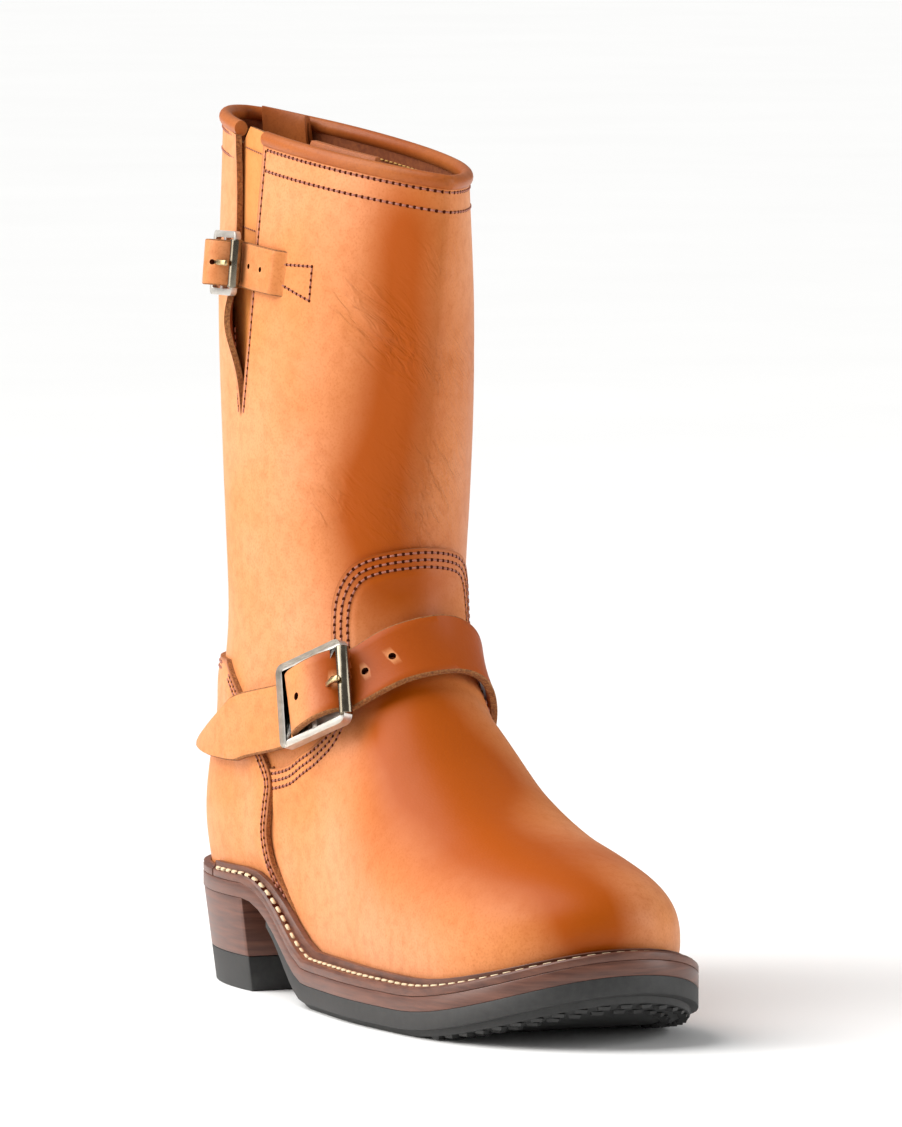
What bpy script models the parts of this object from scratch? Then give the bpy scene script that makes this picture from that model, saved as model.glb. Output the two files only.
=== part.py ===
"""Engineer boot for the right foot: a pull-on leather boot with a buckled instep strap, a buckled
collar strap across a slit, a welted leather midsole, a rubber half sole and a stacked heel.

Every curved piece comes from one shape of the last: a leg form and a foot form that flow into each
other. Lengths are millimetres and become metres when a mesh is made. The toe points to +X, the
buckles sit on the outer side at -Y, the floor is z = 0 and the origin is under the heel.
A place on the upper is an angle and a height. The angle runs round the leg from the back:
90 is the outer side, 180 the front or the toe and 270 the inner side. The height is measured from
the line where the upper meets the midsole.
"""

import bmesh
import bpy
import numpy as np
from mathutils import Matrix, Vector

MM = 0.001
GAP = 0.3

# Sole, from the floor up
HEEL_LIFT = 13.0
HEEL_STACK = 21.7
HEEL_TAPER = 4.5
HEEL_BREAST = 29.0
RUBBER_WALL = 6.3
TREAD = 2.5
TREAD_INSET = 3.0
RUBBER_START = 50.0
RUBBER_FULL = 88.0
RUBBER_THIN = 2.0
MIDSOLE = 5.2
WELT = 3.2
WELT_LIP = 2.4
WELT_LIP_WIDTH = 2.6
WELT_GAP = 0.6
RAND_ANGLE = 47.0
BALL_START = 92.0
BALL_END = 178.0
TOE_SPRING = 16.0
INSOLE = 3.5

# Last
TOE_TIP = 260.0
TOE_START = 190.0
TOE_ROUND = 2.22
FOOT_BACK = 35.0
HEEL_CURVE = -34.0
BELLY = 0.28
TUCK = 0.05
DOME = 2.3
BLEND = 30.0
ANKLE = 110.0
SHAFT_CENTRE = 4.0
COLLAR = 270.0
LEAN_START = 150.0
LEAN_END = 275.0
COLLAR_FRONT = -0.12
COLLAR_SIDE = -0.10

# Upper
WALL = 2.2
COLUMNS = 56
ARCH_ANGLE = 68.0
ARCH_SPREAD = 14.0
SLIT_ANGLE = 83.0
SLIT_FOOT = 172.0
SLIT_FRONT = 6.0
SLIT_OPEN = 18.0
BINDING_RADIUS = 2.6
OVERLAY = 1.8
OVERLAY_GAP = 0.8
TONGUE_FOOT = 77.0
TONGUE_FOOT_RISE = 8.0
TONGUE_SHOULDER = 105.0
TONGUE_RISE = 22.0
TONGUE_HALF_ANGLE = 45.0
COUNTER_FOOT = 7.0
COUNTER_TOP = 81.0
GUSSET_THICK = 1.5

# Straps and buckles
STRAP_LIFT = 3.1
STRAP_THICK = 3.0
STRAP_WIDTH = 24.2
STRAP_BUCKLE_ANGLE = 125
STRAP_POINT = 50.0
TOP_STRAP_LIFT = 0.8
TOP_STRAP_THICK = 2.2
TOP_STRAP_WIDTH = 17.0
TOP_BUCKLE_ANGLE = 80.0
BAR = 2.4

# Buckles: half length, half width, width of an arm, radius of the roller
ANKLE_BUCKLE = (18.5, 16.4, 2.7, 2.5)
TOP_BUCKLE = (12.5, 12.0, 2.6, 2.3)
PULL_HALF_ANGLE = 14.0


class Table:
    """A short table with named columns, read smoothly between its rows."""

    def __init__(self, columns, rows):
        self.columns = dict(zip(columns, np.array(rows, float).T))
        self.stations = self.columns[columns[0]]

    def at(self, name, station):
        stations = self.stations
        values = self.columns[name]
        slopes = np.gradient(values, stations)
        row = np.clip(np.searchsorted(stations, station) - 1, 0, len(values) - 2)
        step = stations[row + 1] - stations[row]
        t = np.clip((station - stations[row]) / step, 0, 1)
        first = (2 * t**3 - 3 * t**2 + 1) * values[row] + (t**3 - 2 * t**2 + t) * step * slopes[row]
        second = (3 * t**2 - 2 * t**3) * values[row + 1] + (t**3 - t**2) * step * slopes[row + 1]
        return first + second


LEG = Table(
    ("height", "back", "front", "half_width", "centre", "front_fullness", "back_fullness"),
    (
        (38, -33.2, 61.0, 29.5, 0.0, 2.0, 2.1),
        (62, -37.5, 66.0, 33.5, 0.0, 2.0, 2.1),
        (90, -35.4, 72.6, 33.3, 0.5, 2.0, 2.1),
        (120, -32.0, 80.0, 36.0, 1.5, 2.0, 2.1),
        (152, -34.0, 86.0, 39.5, 3.0, 1.8, 2.0),
        (200, -43.0, 95.0, 40.5, 4.2, 1.6, 2.0),
        (252, -55.0, 103.0, 39.0, 5.0, 1.45, 1.9),
        (322, -65.0, 110.0, 32.5, 5.5, 1.35, 1.8),
    ),
)

FOOT = Table(
    ("forward", "lateral", "medial", "top"),
    (
        (0, 29.5, 28.0, 111),
        (40, 30.2, 28.0, 120),
        (75, 36.0, 31.0, 130),
        (110, 40.0, 36.4, 118),
        (145, 44.0, 40.5, 92),
        (175, 44.8, 44.0, 77),
        (205, 44.2, 44.6, 70),
        (260, 41.0, 44.0, 68.5),
    ),
)

# How far the welt, midsole and rubber reach beyond the upper
MARGIN = Table(("forward", "reach"), ((-40, 3.2), (30, 5.8), (110, 10.0), (190, 9.0), (270, 8.7)))

# The side seams, where the heel counter's front edge lies on the vamp
SEAM = Table(
    ("height", "angle"),
    ((7, 72), (12, 69), (20, 67), (34, 70), (49, 78), (60, 77), (70, 73), (81, 62)),
)

# The middle line of the instep strap, from its sewn inner end to its pointed tail
STRAP_PATH = (
    (283, 51), (268, 58), (250, 70), (230, 81), (212, 87.5), (194, 91), (180, 91), (164, 88.5),
    (148, 84), (130, 79), (112, 73.5), (94, 66), (80, 60), (66, 54.5), (52, 50), (39, 47),
)

# The middle line of the collar strap, from its slot in front of the slit to behind the buckle
TOP_STRAP_PATH = ((107, 226), (96, 226), (86, 226), (76, 225), (66, 224), (56, 222), (46, 221), (36, 220))

# The gusset's columns, and how far its top stands above the wall in the slit
GUSSET = Table(
    ("angle", "top"),
    ((60, -3), (70, -3), (74, 4), (79, 4), (84, 4), (88, -3), (99, -3)),
)

# One pull loop in section: how deep inside the upper's outer face its two faces lie
PULL_LOOP = Table(
    ("outer_depth", "outer_height", "inner_depth", "inner_height"),
    (
        (2.9, 231, 4.7, 231),
        (2.9, 262, 4.7, 262),
        (4.3, 267, 6.1, 267),
        (4.3, 273, 6.0, 272),
        (5.3, 276, 6.2, 274.3),
        (7.7, 276, 6.8, 274.3),
        (8.7, 273, 7.0, 272),
        (8.7, 233, 7.0, 233),
    ),
)

UPPER_ROWS = (
    0, 8, 17, 26, 34, 41, 47, 51, 55, 60, 66, 74, 83, 94, 108, 125, 148, 172, 197, 222, 247, 270,
)


def ease(t):
    t = np.clip(t, 0, 1)
    return t * t * (3 - 2 * t)


def midsole_floor(x):
    """Height of the midsole's underside: the heel, the arch, the flat ball and the toe spring."""
    heel = HEEL_LIFT + HEEL_STACK + 2 * GAP
    ball = TREAD + RUBBER_WALL + GAP
    arch = ease((BALL_START - x) / (BALL_START - HEEL_BREAST))
    toe = np.maximum(0, (x - BALL_END) / (TOE_TIP - BALL_END))
    return ball + (heel - ball) * arch + TOE_SPRING * toe**2


def feather(x):
    """Height of the line where the upper meets the midsole."""
    return midsole_floor(x) + MIDSOLE + GAP


def spine(x):
    return (FOOT.at("medial", x) - FOOT.at("lateral", x)) / 2


def leg_form(x, y, z):
    back = LEG.at("back", z)
    front = LEG.at("front", z)
    half = LEG.at("half_width", z)
    ahead = (x - (front + back) / 2) / ((front - back) / 2)
    fullness = np.where(ahead > 0, LEG.at("front_fullness", z), LEG.at("back_fullness", z))
    return (np.sqrt(ahead**2 + np.abs((y - LEG.at("centre", z)) / half) ** fullness) - 1) * half


def foot_form(x, y, z):
    half = (FOOT.at("lateral", x) + FOOT.at("medial", x)) / 2
    across = np.abs(y - spine(x)) / half
    ahead = np.maximum(0, (x - TOE_START) / (TOE_TIP - TOE_START))
    behind = np.maximum(0, (FOOT_BACK - x) / (FOOT_BACK - HEEL_CURVE))
    reach = (ahead**TOE_ROUND + across**TOE_ROUND + behind**TOE_ROUND) ** (1 / TOE_ROUND)
    level = (z - feather(x)) / (FOOT.at("top", x) - feather(x))
    up = np.maximum(0, (level - BELLY) / (1 - BELLY))
    down = np.clip((BELLY - level) / BELLY, 0, 1.5)
    return ((reach**DOME + up**DOME) ** (1 / DOME) + TUCK * down**2 - 1) * half


def last_form(x, y, z):
    """Below zero inside the upper's outer face, above zero outside."""
    leg = leg_form(x, y, z)
    foot = foot_form(x, y, z)
    near = np.maximum(BLEND - np.abs(leg - foot), 0) / BLEND
    return np.minimum(leg, foot) - near**2 * BLEND / 4


def bisect(inside, outside, test):
    inside = np.array(inside, float)
    outside = np.array(outside, float)
    for _ in range(36):
        middle = (inside + outside) / 2
        beyond = test(middle) > 0
        outside = np.where(beyond, middle, outside)
        inside = np.where(beyond, inside, middle)
    return (inside + outside) / 2


def row_height(x, y, height):
    """Rows follow the welt near the foot, lie level at the ankle and tilt with the collar."""
    level = ease(height / ANKLE)
    tilt = ease((height - LEAN_START) / (LEAN_END - LEAN_START))
    lean = tilt * (COLLAR_FRONT * (x - 20) + COLLAR_SIDE * y)
    return feather(x) * (1 - level) + feather(-20.0) * level + height + lean


def skin(angle, height):
    """Points of the upper's outer face at angles in degrees and heights."""
    angle, height = np.broadcast_arrays(np.array(angle, float), np.array(height, float))
    high = ease((height - 60) / 100)

    def middle(x):
        return spine(x) * (1 - high) + SHAFT_CENTRE * high

    def end(x):
        return last_form(x, middle(x), row_height(x, middle(x), height))

    inside = np.full(angle.shape, 20.0)
    back = bisect(inside, inside - 110, end)
    front = bisect(inside, inside + 280, end)
    turn = np.radians(angle)
    x = back + (front - back) * (1 - np.cos(turn)) / 2
    side = np.where(np.sin(turn) >= 0, -1.0, 1.0)
    centre = middle(x)

    def beyond(breadth):
        y = centre + side * breadth
        return last_form(x, y, row_height(x, y, height))

    y = centre + side * bisect(x * 0, x * 0 + 95, beyond)
    return np.stack([x, y, row_height(x, y, height)], -1)


def slope(points):
    """How the last form grows along X, Y and Z at each point."""
    step = 0.05
    parts = []
    for axis in np.eye(3) * step:
        ahead = last_form(*np.moveaxis(points + axis, -1, 0))
        behind = last_form(*np.moveaxis(points - axis, -1, 0))
        parts.append((ahead - behind) / (2 * step))
    return np.stack(parts, -1)


def outward(points):
    growth = slope(points)
    return growth / np.linalg.norm(growth, axis=-1, keepdims=True)


def settle(points):
    """Moves points along the form's slope onto the upper's outer face."""
    for _ in range(6):
        growth = slope(points)
        value = last_form(*np.moveaxis(points, -1, 0))
        points = points - growth * (value / (growth**2).sum(-1))[..., None]
    return points


def plan_offset(points, reach):
    """Moves a closed outline outwards in plan."""
    along = np.roll(points, -1, 0) - np.roll(points, 1, 0)
    side = np.stack([along[:, 1], -along[:, 0]], 1) / np.linalg.norm(along[:, :2], axis=1)[:, None]
    moved = points.copy()
    moved[:, :2] += side * np.broadcast_to(reach, len(points))[:, None]
    return moved


def paint(name, colour, roughness, metallic=0.0):
    material = bpy.data.materials.new(name)
    material.use_nodes = True
    shader = material.node_tree.nodes["Principled BSDF"]
    shader.inputs["Base Color"].default_value = (*colour, 1)
    shader.inputs["Roughness"].default_value = roughness
    shader.inputs["Metallic"].default_value = metallic
    return material


def add_mesh(name, points, faces, material):
    """A closed mesh from millimetre points, its normals turned outwards."""
    mesh = bpy.data.meshes.new(name)
    mesh.from_pydata((np.array(points, float) * MM).tolist(), [], faces)
    work = bmesh.new()
    work.from_mesh(mesh)
    bmesh.ops.remove_doubles(work, verts=work.verts, dist=0.00001)
    bmesh.ops.dissolve_degenerate(work, edges=work.edges, dist=0.000001)
    bmesh.ops.recalc_face_normals(work, faces=work.faces)
    work.to_mesh(mesh)
    work.free()
    mesh.materials.append(material)
    piece = bpy.data.objects.new(name, mesh)
    bpy.context.scene.collection.objects.link(piece)
    return piece


def sweep(name, sections, material, closed=False):
    """Joins closed cross-sections along a path, with flat ends where the path is open."""
    sections = np.array(sections, float)
    count, around = sections.shape[:2]
    faces = []
    for i in range(count if closed else count - 1):
        here = i * around
        there = (i + 1) % count * around
        for j in range(around):
            k = (j + 1) % around
            faces.append((here + j, there + j, there + k, here + k))
    if not closed:
        end = (count - 1) * around
        for j in range(around // 2 - 1):
            faces.append((j, j + 1, around - 2 - j, around - 1 - j))
            faces.append((end + j, end + j + 1, end + around - 2 - j, end + around - 1 - j))
    return add_mesh(name, sections.reshape(-1, 3), faces, material)


def sheet(inner, outer):
    """Cross-sections of a sheet between two grids of the same shape."""
    return np.concatenate([inner, outer[:, ::-1]], 1)


def patch(name, angles, heights, low, thick, material):
    """A sheet of leather laid on the upper, or inside it, from grids of angles and heights."""
    base = skin(angles, heights)
    side = outward(base)
    return sweep(name, sheet(base + side * low, base + side * (low + thick)), material)


def strap_line(places, count, focus):
    """Points on the upper along a short list of places, closer together round a buckle's angle."""
    rows = np.array(places, float)
    table = Table(("share", "angle", "height"), np.column_stack([np.linspace(0, 1, len(rows)), rows]))
    fine = np.linspace(0, 1, 240)
    angles = table.at("angle", fine)
    points = skin(angles, table.at("height", fine))
    length = np.concatenate([[0], np.cumsum(np.linalg.norm(np.diff(points, axis=0), axis=1))])
    spot = length[np.argmin(np.abs(angles - focus))]
    density = np.gradient(length) * (1 + 1.6 * np.exp(-(((length - spot) / 20) ** 2)))
    total = np.cumsum(density) - density[0]
    stations = np.interp(np.linspace(0, total[-1], count), total, length)
    line = np.stack([np.interp(stations, length, points[:, i]) for i in range(3)], 1)
    return settle(line), stations, np.interp(stations, length, angles)


def strap_base(line, widths):
    """Three points of the upper under each station of a strap, and the way out from the upper."""
    along = np.gradient(line, axis=0)
    side = outward(line)
    across = np.cross(side, along)
    across /= np.linalg.norm(across, axis=1)[:, None]
    shares = np.array((-0.5, 0.0, 0.5))
    offsets = np.broadcast_to(widths, len(line))[:, None, None] * shares[None, :, None]
    return settle(line[:, None] + across[:, None] * offsets), side


def band(line, lifts, widths, thick):
    """Sections of a strap along points of the upper, lifted off it by the given amounts."""
    base, side = strap_base(line, widths)
    lift = side[:, None] * np.broadcast_to(lifts, len(line))[:, None, None]
    return sheet(base + lift, base + lift + side[:, None] * thick)


for old in list(bpy.data.objects):
    bpy.data.objects.remove(old)

TAN = paint("tan_leather", (0.55, 0.20, 0.055), 0.42)
STRAP_TAN = paint("strap_leather", (0.50, 0.17, 0.045), 0.4)
BINDING_TAN = paint("binding_leather", (0.42, 0.13, 0.035), 0.38)
LINING = paint("lining_leather", (0.36, 0.17, 0.075), 0.8)
SOLE_LEATHER = paint("sole_leather", (0.075, 0.028, 0.016), 0.38)
WELT_LEATHER = paint("welt_leather", (0.11, 0.04, 0.02), 0.42)
BLACK_RUBBER = paint("black_rubber", (0.022, 0.022, 0.023), 0.6)
STEEL = paint("buckle_steel", (0.46, 0.42, 0.36), 0.34, 1.0)


def column_shares():
    """Places of the upper's columns round the leg from the slit, closer together over the arch."""
    fine = np.linspace(0, 1, 2000)
    angle = (SLIT_ANGLE + 360 * fine) % 360
    both = np.minimum(np.abs(angle - ARCH_ANGLE), np.abs(angle - 360 + ARCH_ANGLE))
    density = 1 + 2 * np.exp(-((both / ARCH_SPREAD) ** 2))
    total = np.cumsum(density) - density[0]
    return np.interp(np.linspace(0, total[-1], COLUMNS + 1), total, fine)


def build_upper():
    """The hollow upper: one wall, open at the collar, under the foot and down the slit."""
    rows = np.array(UPPER_ROWS, float)
    shares = column_shares()
    part = np.clip((rows - SLIT_FOOT) / (COLLAR - SLIT_FOOT), 0, 1)[:, None]
    angles = (SLIT_ANGLE + SLIT_FRONT * part + shares[None] * (360 - SLIT_OPEN * part)) % 360
    outer = skin(angles, rows[:, None])
    inner = outer - outward(outer) * WALL
    inner[0, :, 2] = outer[0, :, 2]
    width = COLUMNS + 1
    shift = len(rows) * width
    top = (len(rows) - 1) * width
    faces = []
    for r in range(len(rows) - 1):
        for a in range(r * width, r * width + COLUMNS):
            b = a + width
            faces.append((a, a + 1, b + 1, b))
            faces.append((shift + a, shift + b, shift + b + 1, shift + a + 1))
        if rows[r] >= SLIT_FOOT:
            for a in (r * width, r * width + COLUMNS):
                faces.append((a, a + width, shift + a + width, shift + a))
    for c in range(COLUMNS):
        faces.append((c, shift + c, shift + c + 1, c + 1))
        faces.append((top + c, top + c + 1, shift + top + c + 1, shift + top + c))
    return add_mesh("upper", np.concatenate([outer.reshape(-1, 3), inner.reshape(-1, 3)]), faces, TAN)


def build_overlays():
    across = np.linspace(-1, 1, 19)[:, None]
    up = np.linspace(0, 1, 9)[None]
    crown = TONGUE_SHOULDER + TONGUE_RISE * (1 - np.abs(across) ** 2.6) ** (1 / 2.6)
    foot = TONGUE_FOOT + TONGUE_FOOT_RISE * (1 - across**2)
    heights = foot + (crown - foot) * up
    angles = 180 + TONGUE_HALF_ANGLE * across + heights * 0
    patch("vamp_tongue", angles, heights, OVERLAY_GAP, OVERLAY, TAN)
    across = np.linspace(-1, 1, 19)[:, None]
    heights = np.linspace(COUNTER_FOOT, COUNTER_TOP, 10)[None] + across * 0
    patch("heel_counter", (across * SEAM.at("angle", heights)) % 360, heights, OVERLAY_GAP, OVERLAY, TAN)
    top = COLLAR + GUSSET.columns["top"][:, None]
    heights = SLIT_FOOT - 8 + (top - SLIT_FOOT + 8) * np.linspace(0, 1, 7)[None]
    angles = GUSSET.columns["angle"][:, None] + heights * 0
    patch("gusset", angles, heights, -WALL - 0.5 - GUSSET_THICK, GUSSET_THICK, LINING)


def build_collar():
    start = SLIT_ANGLE + SLIT_FRONT + 0.5
    angles = np.linspace(start, start + 359 - SLIT_OPEN, 40) % 360
    edge = skin(angles, COLLAR)
    side = outward(edge) * (1, 1, 0)
    side /= np.linalg.norm(side, axis=1)[:, None]
    middle = edge - side * WALL / 2 + np.array((0, 0, GAP + BINDING_RADIUS))
    turns = np.linspace(0, 2 * np.pi, 6, endpoint=False) + np.pi / 6
    round_part = side[:, None] * np.cos(turns)[None, :, None]
    up_part = np.array((0, 0, 1.0)) * np.sin(turns)[None, :, None]
    sweep("collar_binding", middle[:, None] + BINDING_RADIUS * (round_part + up_part), BINDING_TAN)
    for name, centre in (("pull_loop_inner", 334.0), ("pull_loop_outer", 121.0)):
        angles = np.linspace(centre - PULL_HALF_ANGLE, centre + PULL_HALF_ANGLE, 6)[:, None]
        faces = []
        for face in ("outer", "inner"):
            base = skin(angles, PULL_LOOP.columns[face + "_height"][None])
            side = outward(base) * (1, 1, 0)
            side /= np.linalg.norm(side, axis=-1, keepdims=True)
            faces.append(base - side * PULL_LOOP.columns[face + "_depth"][None, :, None])
        sweep(name, sheet(*faces), LINING)


def sole_edge(inset):
    """The outer and the inner half of the sole's outline in plan, from the heel to the toe."""
    line = skin(np.linspace(0, 360, 360, endpoint=False), 0.0)
    line = plan_offset(line, MARGIN.at("reach", line[:, 0]) - inset)
    back = np.argmin(line[:, 0])
    line = np.roll(line, -back, 0)
    tip = np.argmax(line[:, 0])
    return line[: tip + 1, :2], np.concatenate([line[tip:], line[:1]])[::-1, :2]


def sole_outline(edge, start, stop, count):
    """A closed outline with outer and inner points at the same stations along the foot."""
    low = max(start, edge[0][0, 0])
    high = min(stop, edge[0][-1, 0])
    x = low + (high - low) * (1 - np.cos(np.pi * np.linspace(0, 1, count))) / 2
    halves = [np.column_stack([x, np.interp(x, half[:, 0], half[:, 1])]) for half in edge]
    return np.concatenate([halves[0], halves[1][::-1]])


def stack(name, rings, material):
    """A solid through closed outlines one above another, its ends closed by strips across."""
    count = len(rings[0])
    faces = []
    for level in range(len(rings) - 1):
        for i in range(count):
            j = (i + 1) % count
            low = level * count
            faces.append((low + i, low + j, low + count + j, low + count + i))
    for low in (0, (len(rings) - 1) * count):
        for i in range(count // 2 - 1):
            faces.append((low + i, low + i + 1, low + count - 2 - i, low + count - 1 - i))
    return add_mesh(name, np.concatenate(rings), faces, material)


def at_height(outline, height):
    return np.column_stack([outline, np.broadcast_to(height, len(outline))])


def build_sole():
    edge = sole_edge(0.0)
    full = sole_outline(edge, -99, 999, 64)
    floor = midsole_floor(full[:, 0])
    stack("midsole", [at_height(full, floor), at_height(full, floor + MIDSOLE)], SOLE_LEATHER)

    fore = sole_outline(edge, RUBBER_START, 999, 42)
    tread = sole_outline(sole_edge(TREAD_INSET), RUBBER_START, 999, 42)
    share = ease((fore[:, 0] - RUBBER_START) / (RUBBER_FULL - RUBBER_START))
    ceiling = midsole_floor(fore[:, 0]) - GAP
    wall = ceiling - RUBBER_THIN - (RUBBER_WALL - RUBBER_THIN) * share
    under = midsole_floor(tread[:, 0]) - GAP - RUBBER_THIN - (RUBBER_WALL - RUBBER_THIN) * share
    rings = [at_height(fore, ceiling), at_height(fore, wall)]
    rings += [at_height(tread, under), at_height(tread, under - 0.4 - (TREAD - 0.4) * share)]
    stack("outsole", rings, BLACK_RUBBER)

    for name, low, high, material in (
        ("heel_lift", 0.0, HEEL_LIFT, BLACK_RUBBER),
        ("heel_stack", HEEL_LIFT + GAP, HEEL_LIFT + GAP + HEEL_STACK, SOLE_LEATHER),
    ):
        rings = []
        for height in (low, high):
            inset = 0.3 + HEEL_TAPER * (1 - height / (HEEL_LIFT + HEEL_STACK + GAP))
            rings.append(at_height(sole_outline(sole_edge(inset), -99, HEEL_BREAST, 18), height))
        stack(name, rings, material)

    inside = skin(np.linspace(0, 360, 360, endpoint=False), 0.0)
    inside = plan_offset(inside, -WALL - 0.6)
    back = np.argmin(inside[:, 0])
    inside = np.roll(inside, -back, 0)
    tip = np.argmax(inside[:, 0])
    halves = (inside[: tip + 1, :2], np.concatenate([inside[tip:], inside[:1]])[::-1, :2])
    bed = sole_outline(halves, -99, 999, 54)
    base = feather(bed[:, 0]) + 0.3
    stack("insole", [at_height(bed, base), at_height(bed, base + INSOLE)], LINING)


def build_strip(name, angles, lip, material):
    """A strip round the foot on the midsole: the stitched welt, or the rand round the heel."""
    line = skin(np.linspace(0, 360, 720, endpoint=False), 0.0)
    rim = plan_offset(line, MARGIN.at("reach", line[:, 0]))
    pick = np.round(np.array(angles) * 2).astype(int) % 720
    base = line[pick]
    edge = rim[pick]
    out = (edge - base) * (1, 1, 0)
    reach = np.linalg.norm(out, axis=1)[:, None]
    out = out / reach

    def place(distance, height):
        point = base + out * distance
        point[:, 2] = feather(point[:, 0]) + height
        return point

    foot = skin(np.array(angles) % 360, WELT * 0.5) + out * WELT_GAP
    crest = skin(np.array(angles) % 360, WELT + lip) + out * WELT_GAP
    ring = [place(WELT_GAP, 0.1), place(reach, 0.1), place(reach, WELT * 0.75), place(reach - 0.8, WELT)]
    ring += [place(WELT_LIP_WIDTH + 1.2, WELT), crest + out * (WELT_LIP_WIDTH - 0.6), crest, foot]
    sweep(name, np.stack(ring, 1), material)


def build_welt():
    build_strip("welt", np.linspace(RAND_ANGLE, 360 - RAND_ANGLE, 66), WELT_LIP, WELT_LEATHER)
    around = np.linspace(RAND_ANGLE - 1, -RAND_ANGLE + 1, 20)[::-1] % 360
    build_strip("heel_rand", around, 0.4, SOLE_LEATHER)


def place_on(piece, frame):
    piece.matrix_world = frame
    return piece


def build_buckle(name, line, lengths, index, size, strap):
    """A centre-bar buckle over a strap: its frame, its roller and its prong.

    Returns how far the strap rises at each of its points to pass over the centre bar.
    """
    half_long, half_wide, arm, radius = size
    lift, thick, width = strap
    normal = outward(line)[index]
    along = line[index + 1] - line[index - 1]
    along -= normal * (along @ normal)
    along /= np.linalg.norm(along)
    across = np.cross(normal, along)
    reach = half_long - radius
    base, sides = strap_base(line, width)
    top = base + sides[:, None] * (lift + thick) - line[index]
    level = top @ normal
    ahead = top @ -along
    near = np.abs(lengths - lengths[index])[:, None] < half_long * 1.6
    front = level[near & (np.abs(ahead - reach) < radius + 1.5)].max()
    rear = level[near & (np.abs(ahead + half_long - arm / 2) < arm / 2 + 1.5)].max()
    height = max(front + 0.7 + radius, rear + 0.7 + BAR / 2)
    rise = max(0.0, height + BAR / 2 + 0.9 + thick - level[index].min())
    share = np.where(ahead > 0, ahead / (reach - radius - 0.5), -ahead / (half_long - arm - 0.5))
    rises = rise * np.cos(np.clip(np.where(near, share, 1).max(1), 0, 1) * np.pi / 2)
    spot = Vector(line[index] + normal * height) * MM
    frame = Matrix.Translation(spot) @ Matrix(np.column_stack([-along, -across, normal])).to_4x4()

    inner = half_wide - arm
    xs = (-half_long, -half_long + arm, -BAR / 2, BAR / 2, reach - BAR / 2, reach + BAR / 2)
    ys = (-half_wide, -inner, inner, half_wide)
    pairs = [(i, j) for i in range(5) for j in range(3) if j != 1 or i in (0, 2, 4)]
    work = bmesh.new()
    corners = [[work.verts.new((x * MM, y * MM, -BAR / 2 * MM)) for y in ys] for x in xs]
    for i, j in pairs:
        work.faces.new((corners[i][j], corners[i + 1][j], corners[i + 1][j + 1], corners[i][j + 1]))
    top = bmesh.ops.extrude_face_region(work, geom=list(work.faces))["geom"]
    moved = [item for item in top if isinstance(item, bmesh.types.BMVert)]
    bmesh.ops.translate(work, verts=moved, vec=(0, 0, BAR * MM))
    bmesh.ops.recalc_face_normals(work, faces=work.faces)
    mesh = bpy.data.meshes.new(name + "_frame")
    work.to_mesh(mesh)
    work.free()
    mesh.materials.append(STEEL)
    piece = bpy.data.objects.new(name + "_frame", mesh)
    bpy.context.scene.collection.objects.link(piece)
    place_on(piece, frame)

    turns = np.linspace(0, 2 * np.pi, 12, endpoint=False)
    bore = BAR / 2 * 1.42 + 0.25
    end = inner - 0.4
    profile = ((bore, -end), (radius, -end), (radius, end), (bore, end))
    tube = []
    for turn in turns:
        tube.append([(reach + r * np.cos(turn), y, r * np.sin(turn)) for r, y in profile])
    place_on(sweep(name + "_roller", tube, STEEL, True), frame)

    hole = reach - 7.0
    beside = near[:, 0] & (np.abs(ahead[:, 1] - hole) < 2.5)
    start = (level[:, 1] + rises)[beside].max() - height + 1.3
    rest = radius + 1.3
    bar = []
    for x, z in ((hole, start), (reach - radius, max(start, rest)), (reach + radius * 0.6, rest)):
        bar.append([(x, y, z + h) for y, h in ((-1.1, -0.9), (1.1, -0.9), (1.1, 0.9), (-1.1, 0.9))])
    place_on(sweep(name + "_prong", bar, STEEL), frame)
    return rises


def build_straps():
    strap = (STRAP_LIFT, STRAP_THICK, STRAP_WIDTH)
    line, lengths, angles = strap_line(STRAP_PATH, 56, STRAP_BUCKLE_ANGLE)
    index = int(np.argmin(np.abs(angles - STRAP_BUCKLE_ANGLE)))
    rises = build_buckle("ankle_buckle", line, lengths, index, ANKLE_BUCKLE, strap)
    left = lengths[-1] - lengths
    widths = STRAP_WIDTH * np.clip(0.06 + left / STRAP_POINT, 0.06, 1)
    sweep("ankle_strap", band(line, STRAP_LIFT + rises, widths, STRAP_THICK), STRAP_TAN)

    strap = (TOP_STRAP_LIFT, TOP_STRAP_THICK, TOP_STRAP_WIDTH)
    line, lengths, angles = strap_line(TOP_STRAP_PATH, 30, TOP_BUCKLE_ANGLE)
    index = int(np.argmin(np.abs(angles - TOP_BUCKLE_ANGLE)))
    rises = build_buckle("top_buckle", line, lengths, index, TOP_BUCKLE, strap)
    sweep("top_strap", band(line, TOP_STRAP_LIFT + rises, TOP_STRAP_WIDTH, TOP_STRAP_THICK), STRAP_TAN)


build_upper()
build_overlays()
build_collar()
build_sole()
build_welt()
build_straps()
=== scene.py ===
# %% [markdown]
# # An engineer boot, dressed
# The imported solids are the frame: every piece here lies where a solid lies, in metres, with the toe
# at +X, the buckles at -Y and the floor at z = 0. The frame is loaded first.

# %% Load the frame
import math

import bpy
import numpy as np
from mathutils import Matrix, Vector


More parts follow.
